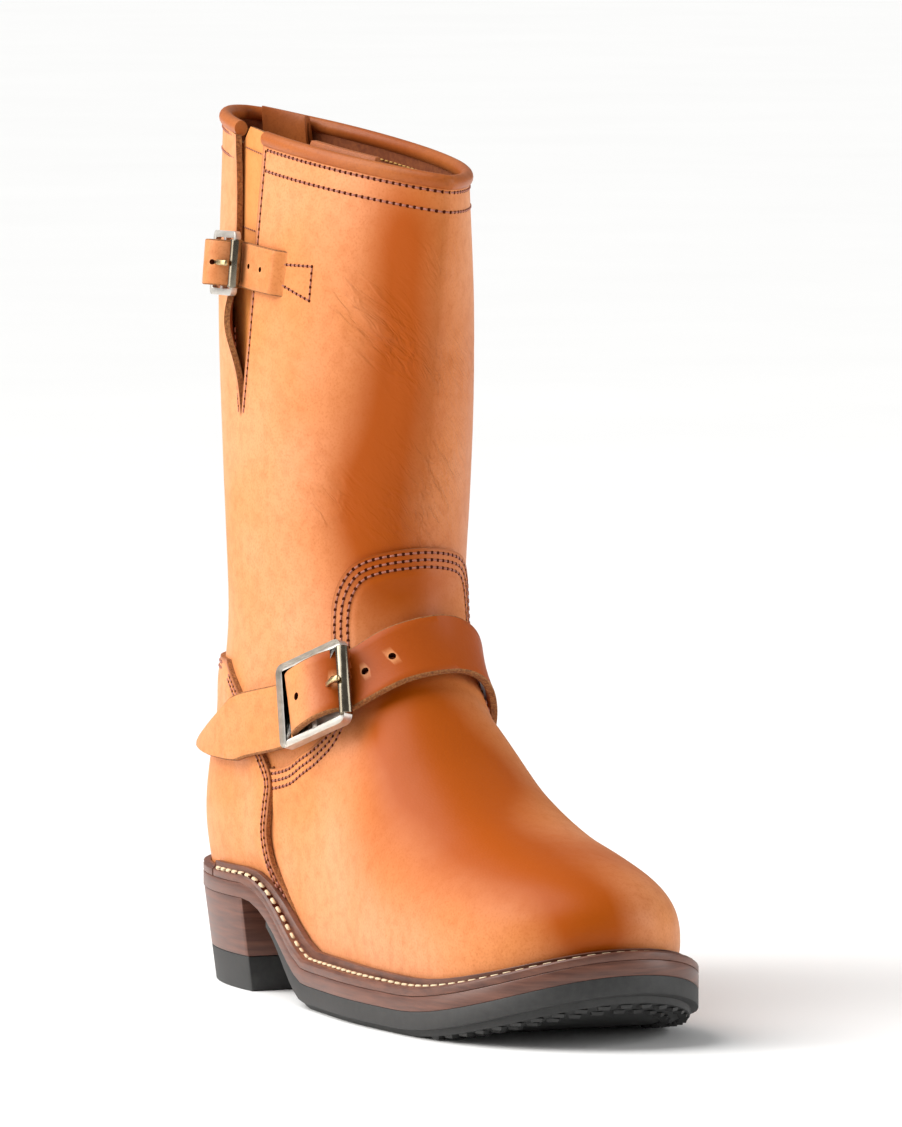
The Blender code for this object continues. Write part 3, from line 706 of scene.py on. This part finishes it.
rows = np.concatenate([np.linspace(0, 120, 40), np.linspace(121.5, COLLAR, 110)])[:, None]
shares = np.linspace(0, 1, 250)[None]
climb, front_edge = slit_climb(rows), slit_front(rows)
back_edge = SLIT_ANGLE + 360 - SLIT_OPEN * climb
angles = (front_edge + shares * (back_edge - front_edge)) % 360
heights = rows + shares * 0
points = skin(angles, heights)
sides = outward(points)
covered = np.maximum(
    ease((inside_vamp(points, angles, heights) - 4) / 18),
    ease((inside_counter(points, angles, heights) - 4) / 18),
)
covered = np.maximum(covered, ease((46 - heights) / 10))
arc = (back_edge - front_edge) * COLLAR_DEGREE
behind = (1 - shares) * arc
curl = 5.0 * bell((rows - 205) / 14) + 1.2 * bell((rows - 272) / 16)
move, pull = creased(points, sides)
lift = move * (1 - covered) - SINK * covered + curl * np.exp(-behind / 7) * (climb > 0)
slit_distance = np.minimum(behind, shares * arc)
cut = np.where(climb > 0, np.exp(-slit_distance / 1.2), 0) * 0.5
marks = {"burnish_and_shade": wax_wear_and_shade(points), "pull": pull, "cut": cut}
marks["wrinkle"] = patches(points, WRINKLES, 1.0)
marks["laid"] = np.stack([angles * LAID_DEGREE * MM, heights * MM, heights * 0], -1)
shaft = lay_grid("shaft", points + sides * lift[..., None], (tan, raw_edge, flesh), marks)
weld(shaft)
thicken(shaft, WALL, material_offset=2)
hand_over(shaft, ("upper",))

# %% [markdown]
# ## Vamp and counter
# Both grids follow their own edges, so the cut edges are clean. Rows run from the edge down to the welt.

# %% Vamp
fall = np.linspace(0, 1, 80)[:, None] ** 1.3
heights = vamp_heights[None] * (1 - fall)
angles = vamp_angles[None] + heights * 0
points = skin(angles % 360, heights)
sides = outward(points)
depth = distance_to(points, vamp_line)
pad = 0.35 * ease((depth - 8.2) / 1.6) * ease((heights - 84) / 6)
under = ease((inside_counter(points, angles, heights) + 1.5) / 2.5)
lift = (vamp_face(depth) + pad) * (1 - under) - 0.5 * under
marks = {"burnish_and_shade": wax_wear_and_shade(points)[::-1], "cut": (0.5 * np.exp(-depth / 0.9))[::-1]}
vamp = lay_grid("vamp", (points + sides * lift[..., None])[::-1], (tan, raw_edge), marks)
thicken(vamp, PANEL)
hand_over(vamp, ("vamp_tongue",))

# %% Counter
heights = np.linspace(0, COUNTER_TOP, 64)[:, None]
turn = np.linspace(-1, 1, 150)[None]
angles = (turn * SEAM.at("angle", heights)) % 360
heights = heights + turn * 0
points = skin(angles, heights)
sides = outward(points)
depth = distance_to(points, counter_line)
lift = counter_face(depth, heights)
marks = {"burnish_and_shade": wax_wear_and_shade(points), "cut": 0.85 * bell(depth / 1.5)}
counter = lay_grid("counter", points + sides * lift[..., None], (tan, raw_edge), marks)
thicken(counter, PANEL)
hand_over(counter, ("heel_counter",))

# %% [markdown]
# ## Pieces that keep the solid's shape
# A flat-sided or plain piece is right as it is, but its edges are too sharp for the eye. A copy of the
# solid has its loose corners merged, its flat faces joined and its edges bevelled. The layers of the sole
# are pressed together as they are when cemented: each grows by half of the gap that parts the solids.

# %% Softened copies
def softened(node, material, bevel, segments=2, levels=0):
    """A copy of a solid with merged corners, softened edges and, if asked, smoother bends."""
    piece = new_object(node + "_shown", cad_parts[node].data.copy())
    piece.data.materials[0] = material
    weld(piece, flatten=True)
    if bevel:
        soften(piece, bevel, segments)
    if levels:
        apply(piece, "SUBSURF", levels=levels, render_levels=levels)
    return piece


PRESSED = 0.14
for node, slot, finish, bevel in (
    ("midsole", "sole_leather", sole_edge_stain, 0.2),
    ("heel_stack", "sole_leather", sole_edge_stain, 0.2),
    ("heel_rand", "sole_leather", sole_edge_stain, 0.2),
    ("welt", "welt_leather", welt_stain, 0.25),
    ("outsole", "black_rubber", rubber, 0.3),
    ("heel_lift", "black_rubber", rubber, 0.4),
):
    piece = softened(node, finish, bevel)
    apply(piece, "DISPLACE", strength=PRESSED * MM, mid_level=0.0)
    hand_over(piece, (node,), 40)
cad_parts["insole"].data.materials[0] = flesh

# %% [markdown]
# ## Collar
# The collar is bound with a strip of calf that is rolled over the edge. A pull loop stands inside on each
# side, and a gusset of softer leather fills the slit.

# %% Binding, pull loops and gusset
ROLL_OUT, ROLL_UP, ROLL_RISE = 2.5, 2.9, 2.4
around = np.linspace(0, 2 * np.pi, 19)
collar_angles = np.linspace(89.5, 89.5 + 341, 240)
edge = skin(collar_angles % 360, COLLAR)
side = unit(outward(edge) * (1, 1, 0))
upright = np.array((0.0, 0.0, 1.0))
middle = edge - side * WALL / 2 + upright * ROLL_RISE
ring = middle[:, None] + ROLL_OUT * side[:, None] * np.cos(around)[None, :, None]
ring = ring + ROLL_UP * upright * np.sin(around)[None, :, None]
binding = lay_grid("collar_roll", ring, (binding_tan,))
weld(binding, fill=True)
hand_over(binding, ("collar_binding",))

for node in ("pull_loop_inner", "pull_loop_outer"):
    loop = softened(node, binding_tan, 0.35, levels=2)
    hand_over(loop, (node,))

GUSSET_ANGLES, GUSSET_TOPS = (60, 70, 74, 79, 84, 88, 99), (-3, -3, 4, 4, 4, -3, -3)
GUSSET_FOOT, GUSSET_THICK = SLIT_FOOT - 8, 1.5
gusset_angles = np.linspace(60, 99, 40)[None]
gusset_top = COLLAR + np.interp(gusset_angles, GUSSET_ANGLES, GUSSET_TOPS)
heights = GUSSET_FOOT + (gusset_top - GUSSET_FOOT) * np.linspace(0, 1, 60)[:, None]
points = skin(gusset_angles + heights * 0, heights)
fold = 0.5 * np.sin((gusset_angles - 60) / 39 * 3 * np.pi) * ease((heights - 180) / 40)
shape = points + outward(points) * (fold - WALL - 0.6)[..., None]
gusset = lay_grid("gusset_shown", shape, (gusset_tan, raw_edge))
thicken(gusset, GUSSET_THICK)
hand_over(gusset, ("gusset",))

# %% [markdown]
# ## Straps
# The instep strap runs from a sewn end on the inner side, over the instep, under the buckle's roller, over
# its hidden centre bar, under its last bar and out to a pointed tail. How far it rises is measured in the
# buckle's own axes, so that it clears the roller and both bars. The holes are punched with real cylinders,
# and their walls are painted with shade.

# %% Seats of the buckles
STRAP_PATH = (
    (283, 51), (268, 58), (250, 70), (230, 81), (212, 87.5), (194, 91), (180, 91), (164, 88.5),
    (148, 84), (130, 79), (112, 73.5), (94, 66), (80, 60), (66, 54.5), (52, 50), (39, 47),
)
TOP_STRAP_PATH = (
    (107, 226), (96, 226), (86, 226), (76, 225), (66, 224), (56, 222), (46, 221), (36, 220),
)
BAR = 2.4
SEAT_GAP, OVER_BAR, END_GAP = 0.7, 0.9, 0.3


def across_of(line):
    """Directions across a line on the last and out of the leather."""
    side = outward(line)
    return unit(np.cross(side, np.gradient(line, axis=0))), side


def strap_base(line, widths, shares):
    """Points of the leather beneath a strap, in sections along its middle line."""
    across, side = across_of(line)
    offsets = np.broadcast_to(widths, len(line))[:, None, None] * np.array(shares)[None, :, None] / 2
    return settle(line[:, None] + across[:, None] * offsets), side


SECTION = (
    (-0.94, 0.0), (-0.5, 0.0), (0.0, 0.0), (0.5, 0.0), (0.94, 0.0), (0.99, 0.15), (1.0, 0.5), (0.99, 0.85),
    (0.94, 1.0), (0.7, 1.0), (0.35, 1.0), (0.0, 1.0), (-0.35, 1.0), (-0.7, 1.0), (-0.94, 1.0), (-0.99, 0.85),
    (-1.0, 0.5), (-0.99, 0.15), (-0.94, 0.0),
)


def strap_rise(line, lengths, index, size, strap):
    """How far a strap rises, at each point of each section, to pass over a buckle's centre bar."""
    half_long, _, arm, radius = size
    lift, thick, width = strap
    normal = outward(line)[index]
    along = line[index + 1] - line[index - 1]
    along = unit(along - normal * (along @ normal))
    reach = half_long - radius
    base, sides = strap_base(line, width, np.array(SECTION)[:, 0])
    top = base + sides[:, None] * (lift + thick) - line[index]
    level = top @ normal
    ahead = top @ -along
    near = np.abs(lengths - lengths[index])[:, None] < half_long * 1.6
    front = level[near & (np.abs(ahead - reach) < radius + 1.5)].max()
    rear = level[near & (np.abs(ahead + half_long - arm / 2) < arm / 2 + 1.5)].max()
    height = max(front + SEAT_GAP + radius, rear + SEAT_GAP + BAR / 2)
    rise = max(0.0, height + BAR / 2 + OVER_BAR + thick - level[index].min())
    fore, aft = reach - radius - END_GAP, half_long - arm - END_GAP
    share = np.where(ahead > 0, ahead / fore, -ahead / aft)
    hump = np.cos(np.clip(np.where(near, share, 1), 0, 1) * np.pi / 2)
    return rise * hump ** np.where(ahead > 0, 0.5, 0.32)


def lay_strap(name, line, lifts, widths, thick, burnish_and_shade):
    section = np.array(SECTION)
    base, side = strap_base(line, widths, section[:, 0])
    lift = lifts + section[None, :, 1] * thick
    marks = {"burnish_and_shade": np.broadcast_to(burnish_and_shade, len(line))[:, None] + section[None, :, 0] * 0}
    piece = lay_grid(name, base + side[:, None] * lift[..., None], (strap_tan, raw_edge), marks)
    raw = np.abs(section[:-1, 0] + section[1:, 0]) / 2 > 0.95
    piece.data.polygons.foreach_set("material_index", np.tile(raw, len(line) - 1).astype(int))
    weld(piece, fill=True)
    return piece


def punch(strap, line, lift, places, radius):
    """Punches round holes through a strap at points of its middle line, and their walls take the painted hole
    shade.
    """
    sides = outward(line)
    for place in places:
        centre = Vector(line[place] + sides[place] * lift) * MM
        # The cutter carries the painted hole shade, which the cut walls take over.
        awl = cylinder(centre, sides[place], radius * MM, 24 * MM, 20, hole_shade)
        cut_out = {"operation": "DIFFERENCE", "solver": "EXACT", "material_mode": "TRANSFER"}
        apply(strap, "BOOLEAN", object=awl, **cut_out)
        bpy.data.objects.remove(awl)


# %% Instep strap
STRAP_LIFT, STRAP_THICK, STRAP_WIDTH = 3.1, 3.0, 24.2
ANKLE_BUCKLE, ANKLE_BUCKLE_ANGLE = (18.5, 16.4, 2.7, 2.5), 125
line, run, strap_angles, _ = line_on_last(STRAP_PATH, count=260)
middle = nearest(strap_angles, ANKLE_BUCKLE_ANGLE)
rises = strap_rise(line, run, middle, ANKLE_BUCKLE, (STRAP_LIFT, STRAP_THICK, STRAP_WIDTH))
widths = STRAP_WIDTH * np.clip(0.06 + (run[-1] - run) / 50, 0.06, 1)
# Painted shade: the middle of the instep strap, which lies between the two side lights, takes the burnt tone.
strap_front_shade = 0.95 * ease((strap_angles - 120) / 15) * ease((275 - strap_angles) / 30)
ankle_strap = lay_strap("instep_strap", line, STRAP_LIFT + rises, widths, STRAP_THICK, strap_front_shade)
holes = [nearest(run - run[middle], away) for away in (4.5, -9.0, -17.6, -27.0)]
punch(ankle_strap, line, 6.0, holes, 1.45)
hand_over(ankle_strap, ("ankle_strap",), 40)
instep_line, instep_run = line, run

# %% Collar strap
TOP_LIFT, TOP_THICK, TOP_WIDTH = 0.8, 2.2, 17.0
TOP_BUCKLE, TOP_BUCKLE_ANGLE, TOP_BULGE = (12.5, 12.0, 2.6, 2.3), 80, 1.5
line, run, strap_angles, _ = line_on_last(TOP_STRAP_PATH, count=140)
middle = nearest(strap_angles, TOP_BUCKLE_ANGLE)
rises = strap_rise(line, run, middle, TOP_BUCKLE, (TOP_LIFT, TOP_THICK, TOP_WIDTH))
sunk = -3.2 * ease((7 - run) / 7)
lifts = TOP_LIFT + rises * TOP_BULGE + sunk[:, None]
top_strap = lay_strap("slit_strap", line, lifts, TOP_WIDTH, TOP_THICK, 0.15)
holes = [nearest(run - run[middle], away) for away in (3.0, -3.2, -15.3, -24.3)]
punch(top_strap, line, 3.0, holes, 1.0)
hand_over(top_strap, ("top_strap",), 40)

# %% [markdown]
# ## Buckles
# A roller buckle is a cast frame with a tube that turns on its front bar and a prong that rests on the
# tube. The frames are softened copies with their corners rounded first. The tube is a cylinder
# laid on the solid's own axis, which its corners give.

# %% Buckles
def place_cylinder(node, material):
    """A fresh cylinder on the axis of a round solid, with its ends softened."""
    corners = np.array([v.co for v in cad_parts[node].data.vertices])
    centre = corners.mean(0)
    axis = np.linalg.svd(corners - centre, full_matrices=False)[2][0]
    reach = (corners - centre) @ axis
    radius = np.linalg.norm(corners - centre - np.outer(reach, axis), axis=1).max()
    piece = cylinder(centre, axis, radius, reach.max() - reach.min(), 40, material)
    piece.name = piece.data.name = node + "_shown"
    soften(piece, 0.5, 3, 0.8)
    return piece


def round_corners(piece, radius):
    """Rounds the four outer corners of a flat frame."""
    corners = np.array([v.co for v in piece.data.vertices])
    centre = corners.mean(0)
    normal = np.linalg.svd(corners - centre, full_matrices=False)[2][2]
    away = corners - centre
    away -= np.outer(away @ normal, normal)
    away = np.linalg.norm(away, axis=1)
    ends = np.array([edge.vertices[:] for edge in piece.data.edges])
    run = corners[ends[:, 1]] - corners[ends[:, 0]]
    upright_edges = np.abs(run @ normal) > 0.95 * np.linalg.norm(run, axis=1)
    picked = upright_edges & (away[ends].min(1) > 0.93 * away.max())
    select_only(piece)
    mode("EDIT")
    bpy.ops.mesh.select_all(action="DESELECT")
    mode("OBJECT")
    piece.data.edges.foreach_set("select", picked)
    mode("EDIT")
    bpy.ops.mesh.select_mode(type="EDGE")
    bpy.ops.mesh.bevel(offset=radius * MM, segments=5, affect="EDGES")
    mode("OBJECT")
    print(piece.name, int(picked.sum()), "corners rounded")


for buckle, corner in (("ankle_buckle", 3.2), ("top_buckle", 2.4)):
    rounded = softened(buckle + "_frame", steel, 0)
    round_corners(rounded, corner)
    soften(rounded, 0.75, 3)
    tube = place_cylinder(buckle + "_roller", roller_steel)
    prong = softened(buckle + "_prong", prong_steel, 0.6, 3)
    for part, piece in (("_frame", rounded), ("_roller", tube), ("_prong", prong)):
        hand_over(piece, (buckle + part,), 35)

# %% [markdown]
# ## Stitches
# A lockstitch seam shows short lengths of thread with a needle hole at each end, drawn as a flat disc of
# painted shade. Hundreds of them are made at once: one small plump rod of six sides is copied along each
# row by arrays, and the rows of one thread are joined in one mesh. The welt is sewn with thick waxed linen,
# the upper with brown thread.

# %% Stitch rows
ROD_SIDES = 6
ROD_RINGS = ((-0.5, 0.35, -0.7), (-0.32, 0.95, -0.1), (0.32, 0.95, -0.1), (0.5, 0.35, -0.7))
ROD = np.array(
    [
        (along, radius * np.cos(turn), radius * np.sin(turn) + sag)
        for along, radius, sag in ROD_RINGS
        for turn in np.linspace(0, 2 * np.pi, ROD_SIDES, endpoint=False)
    ]
)
ROD_FACES = [
    (ring + i, ring + (i + 1) % 6, ring + 6 + (i + 1) % 6, ring + 6 + i)
    for ring in (0, 6, 12)
    for i in range(ROD_SIDES)
]
ROD_FACES += [tuple(range(5, -1, -1)), tuple(range(18, 24))]
DOT_FACES = [tuple(range(8))]
ROD_STAND, DOT_STAND = 0.1, 0.12
DOT = np.array([(np.cos(t), np.sin(t), 0.0) for t in np.linspace(0, 2 * np.pi, 8, endpoint=False)])


def joined(name, blocks, faces, material):
    """One mesh from many copies of a small shape, given as blocks of corners."""
    corners = np.concatenate(blocks)
    count, size = corners.shape[:2]
    mesh = bpy.data.meshes.new(name)
    copies = [tuple(i * size + k for k in face) for i in range(count) for face in faces]
    mesh.from_pydata((corners.reshape(-1, 3) * MM).tolist(), [], copies)
    mesh.materials.append(material)
    hand_over(new_object(name, mesh), angle=60)


def evenly(line, pitch):
    lengths = lengths_along(line)
    even = np.linspace(0, lengths[-1], max(2, int(lengths[-1] / pitch)) + 1)
    return read_at(even, lengths, line)


def axes_along(ends, sides):
    run = ends[1:] - ends[:-1]
    length = np.linalg.norm(run, axis=1)[:, None]
    forward = run / length
    across = unit(np.cross(sides, forward))
    return forward, across, np.cross(forward, across), length


def sew(line, pitch, radius, normal_of=outward, fill=0.76):
    """Corners of the rods and of the painted shade discs at the needle holes along a row of points on a
    surface.
    """
    ends = evenly(line, pitch)
    middles = (ends[1:] + ends[:-1]) / 2
    forward, across, up, length = axes_along(ends, normal_of(middles))
    rods = middles[:, None] + forward[:, None] * (ROD[None, :, :1] * length[:, None] * fill)
    rods = rods + across[:, None] * ROD[None, :, 1:2] * radius
    rods = rods + up[:, None] * (ROD[None, :, 2:] * radius + ROD_STAND)
    dots = ends[:-1, None] + forward[:, None] * DOT[None, :, :1] * radius * 1.9
    dots = dots + across[:, None] * DOT[None, :, 1:2] * radius * 1.7 + up[:, None] * DOT_STAND
    return rods, dots


def inset(line, depth, inward):
    """A row that keeps a distance from a line on the last, on the side that a point inside gives."""
    across = across_of(line)[0]
    turn = np.sign(((inward - line) * across).sum(1))[:, None]
    return settle(line + across * turn * depth)


def raised(line, lift):
    return line + outward(line) * np.broadcast_to(lift, len(line))[:, None]


# %% Brown thread on the upper
ROW_DEPTHS = (1.7, 4.4, 7.1)
PITCH, THREAD = 2.8, 0.4
rods, dots = [], []


def sew_brown(line, pitch=PITCH, thread=THREAD):
    new_rods, new_dots = sew(line, pitch, thread)
    rods.append(new_rods)
    dots.append(new_dots)


inside = skin(vamp_angles % 360, np.maximum(vamp_heights - 12, 1))
on_tongue = (vamp_angles > 128) & (vamp_angles < 232)
toward = np.where(on_tongue[:, None], skin(180.0, 95.0), inside)
ahead_of_seam = (vamp_angles > 79.5) & (vamp_angles < 280.5)
for depth in ROW_DEPTHS:
    row = inset(vamp_line, depth, toward)[ahead_of_seam]
    sew_brown(raised(row, vamp_face(depth)))
COUNTER_ROWS = (1.9, 3.9)
for seam, back in ((seam_line, 40.0), (inner_seam_line, 320.0)):
    for depth in COUNTER_ROWS:
        keep = (seam_heights > 5) & (seam_heights < 78)
        row = inset(seam, depth, skin(back, seam_heights))[keep]
        sew_brown(raised(row, counter_face(depth, seam_heights[keep])))
for depth in COUNTER_ROWS:
    row = inset(top_line, depth, skin(0.0, 60.0))[4:-4]
    sew_brown(raised(row, counter_face(depth, COUNTER_TOP)))
for height in (268.8, 261.2):
    sew_brown(skin(np.linspace(92.0, 90 + 339.0, 300) % 360, height))
slit_heights = np.linspace(268, 173, 120)
sew_brown(skin(slit_front(slit_heights) + 1.9, slit_heights))
low = slit_heights[slit_heights < 204]
sew_brown(skin(SLIT_ANGLE - SLIT_OPEN * slit_climb(low) - 1.7, low), 2.6, 0.3)
STRAP_BOX = ((105, 229.5), (117.5, 231), (117.5, 218), (105, 222))
for corners in zip(STRAP_BOX, STRAP_BOX[1:] + STRAP_BOX[:1]):
    sew_brown(line_on_last(corners, count=30)[0], 2.4, 0.36)
for height in (266, 238):
    row = skin(np.linspace(72, 88, 30), float(height))
    sew_brown(raised(row, -WALL - 0.55), 2.0, 0.2)
base, side = strap_base(instep_line, STRAP_WIDTH, np.linspace(-0.84, 0.84, 30))
for away in (3.0, 6.0, 14.0, 17.0):
    place = nearest(instep_run, away)
    sew_brown(base[place] + side[place] * (STRAP_LIFT + STRAP_THICK))
joined("brown_stitches", rods, ROD_FACES, brown_thread)
# Flat discs of painted shade at the needle holes of the upper.
joined("stitch_hole_shade", dots, DOT_FACES, hole_shade)

# %% [markdown]
# ### Welt stitches and the facing
# The welt's row stands on its flat outer part. Inside the collar the facing is sewn with gold thread.

# %% Cream and gold thread
def plan_offset(points, reach):
    along = np.roll(points, -1, 0) - np.roll(points, 1, 0)
    side = np.stack([along[:, 1], -along[:, 0]], 1) / np.linalg.norm(along[:, :2], axis=1)[:, None]
    moved = points.copy()
    moved[:, :2] += side * np.broadcast_to(reach, len(points))[:, None]
    return moved


welt_line = skin(np.linspace(0, 360, 720, endpoint=False), 0.0)
reach = MARGIN.at("reach", welt_line[:, 0])
WELT_FLAT, STITCH_SHARE = 3.8, 0.42
stitch_line = plan_offset(welt_line, WELT_FLAT + (reach - WELT_FLAT) * STITCH_SHARE)
stitch_line[:, 2] = feather(stitch_line[:, 0]) + WELT + 0.05
welt_row = stitch_line[96:625]


def upwards(points):
    return np.broadcast_to(upright, points.shape)


cream, cream_dots = sew(welt_row, 5.4, 0.85, upwards, 0.78)
joined("welt_stitches", [cream], ROD_FACES, cream_thread)
# Flat discs of painted shade at the welt's awl holes.
joined("welt_awl_hole_shade", [cream_dots], DOT_FACES, hole_shade)


def inwards(points):
    return -outward(points)


gold = []
for height in (266.0, 257.0):
    row = skin(np.linspace(95, 425, 300) % 360, height)
    gold.append(sew(raised(row, -WALL - 0.1), 3.0, 0.34, inwards)[0])
joined("facing_stitches", gold, ROD_FACES, gold_thread)

# %% [markdown]
# ## Tread
# Small studs stand along the edge of the half sole only under the lifted toe, where they show. One stud is
# a block that is narrower at its foot, copied along the inset edge.

# %% Studs
STUD_LONG, STUD_WIDE, STUD_TALL, STUD_DROP = 2.4, 1.8, 1.3, 8.9
LIFTED_TOE = 203.0
STUD = np.array(
    [
        (x * grow, y * grow, z)
        for z, grow in ((0.0, 1.0), (-1.0, 0.8))
        for x, y in ((-1, -1), (1, -1), (1, 1), (-1, 1))
    ]
)
STUD_FACES = [(3, 2, 1, 0), (4, 5, 6, 7), (0, 1, 5, 4), (1, 2, 6, 5), (2, 3, 7, 6), (3, 0, 4, 7)]
studs = []
for pull_in in (5.4, 12.0):
    rim = plan_offset(welt_line, reach - pull_in)
    rim = evenly(rim[rim[:, 0] > LIFTED_TOE], 7.7)
    ahead = unit(np.gradient(rim, axis=0) * (1, 1, 0))
    across = np.cross(upright, ahead)
    top = np.column_stack([rim[:, :2], midsole_floor(rim[:, 0]) - STUD_DROP])
    block = top[:, None] + ahead[:, None] * STUD[None, :, :1] * STUD_LONG
    block = block + across[:, None] * STUD[None, :, 1:2] * STUD_WIDE
    studs.append(block + upright * STUD[None, :, 2:] * STUD_TALL)
joined("tread_studs", studs, STUD_FACES, rubber)

# %% [markdown]
# ## Floor, light and camera
# The picture has a pale floor and large soft lights on both sides, the stronger one at the left, under an
# even overhead light. The camera keeps the photo's angle to the boot and its long lens.

# %% Floor and lights
bpy.ops.object.select_all(action="DESELECT")
bpy.ops.mesh.primitive_grid_add(x_subdivisions=4, y_subdivisions=4, size=60)
floor = bpy.context.object
floor.name = "floor"
paper = mixed("pale_paper", "#FCFCFB", "#FEFEFD", 400.0, EVEN, 0.85, 0.01, 0.02)
floor.data.materials.append(paper)

AZIMUTH, ELEVATION, DISTANCE = math.radians(64.0), math.radians(4.1), 4.214
FOCAL, PICTURE_HEIGHT, SENSOR = 11490, 1127, 36
level = math.cos(ELEVATION)
back = Vector((math.sin(AZIMUTH) * level, -math.cos(AZIMUTH) * level, math.sin(ELEVATION)))
right = Vector((math.cos(AZIMUTH), math.sin(AZIMUTH), 0))
ahead = Vector((-math.sin(AZIMUTH), math.cos(AZIMUTH), 0))
target = Vector((0.0960, 0.0124, 0.1620))


def hang(light, place, facing):
    lamp = new_object(light.name, light)
    lamp.location = place
    lamp.rotation_euler = facing.to_track_quat("-Z", "Y").to_euler()


def soft_box(name, place, size, power, colour):
    light = bpy.data.lights.new(name, "AREA")
    light.shape = "RECTANGLE"
    light.size, light.size_y = size
    light.energy = power
    light.color = linear(colour)[:3]
    hang(light, place, target - place)


soft_box("key", target - right * 1.9 - ahead * 0.15 + Vector((0, 0, 0.5)), (1.2, 1.9), 27, "#FFFAF4")
soft_box("fill", target + right * 1.9 - ahead * 0.35 + Vector((0, 0, 0.4)), (1.0, 1.8), 19, "#FFFFFF")
overhead = bpy.data.lights.new("overhead", "SUN")
overhead.energy = 3.1
overhead.angle = math.radians(60)
hang(overhead, Vector((0, 0, 0)), right * 0.8 + Vector((0, 0, -1)))
world = bpy.data.worlds.new("studio")
world.use_nodes = True
sky = world.node_tree.nodes["Background"]
sky.inputs["Color"].default_value = linear("#FFFFFF")
sky.inputs["Strength"].default_value = 0.27
bpy.context.scene.world = world
bpy.context.scene.view_settings.view_transform = "Standard"

# %% Camera
camera = new_object("camera", bpy.data.cameras.new("camera"))
camera.location = target + back * DISTANCE
camera.rotation_euler = back.to_track_quat("Z", "Y").to_euler()
camera.data.sensor_width = SENSOR
camera.data.lens = FOCAL / PICTURE_HEIGHT * SENSOR
bpy.context.scene.camera = camera
print("camera lens", round(camera.data.lens), "mm")
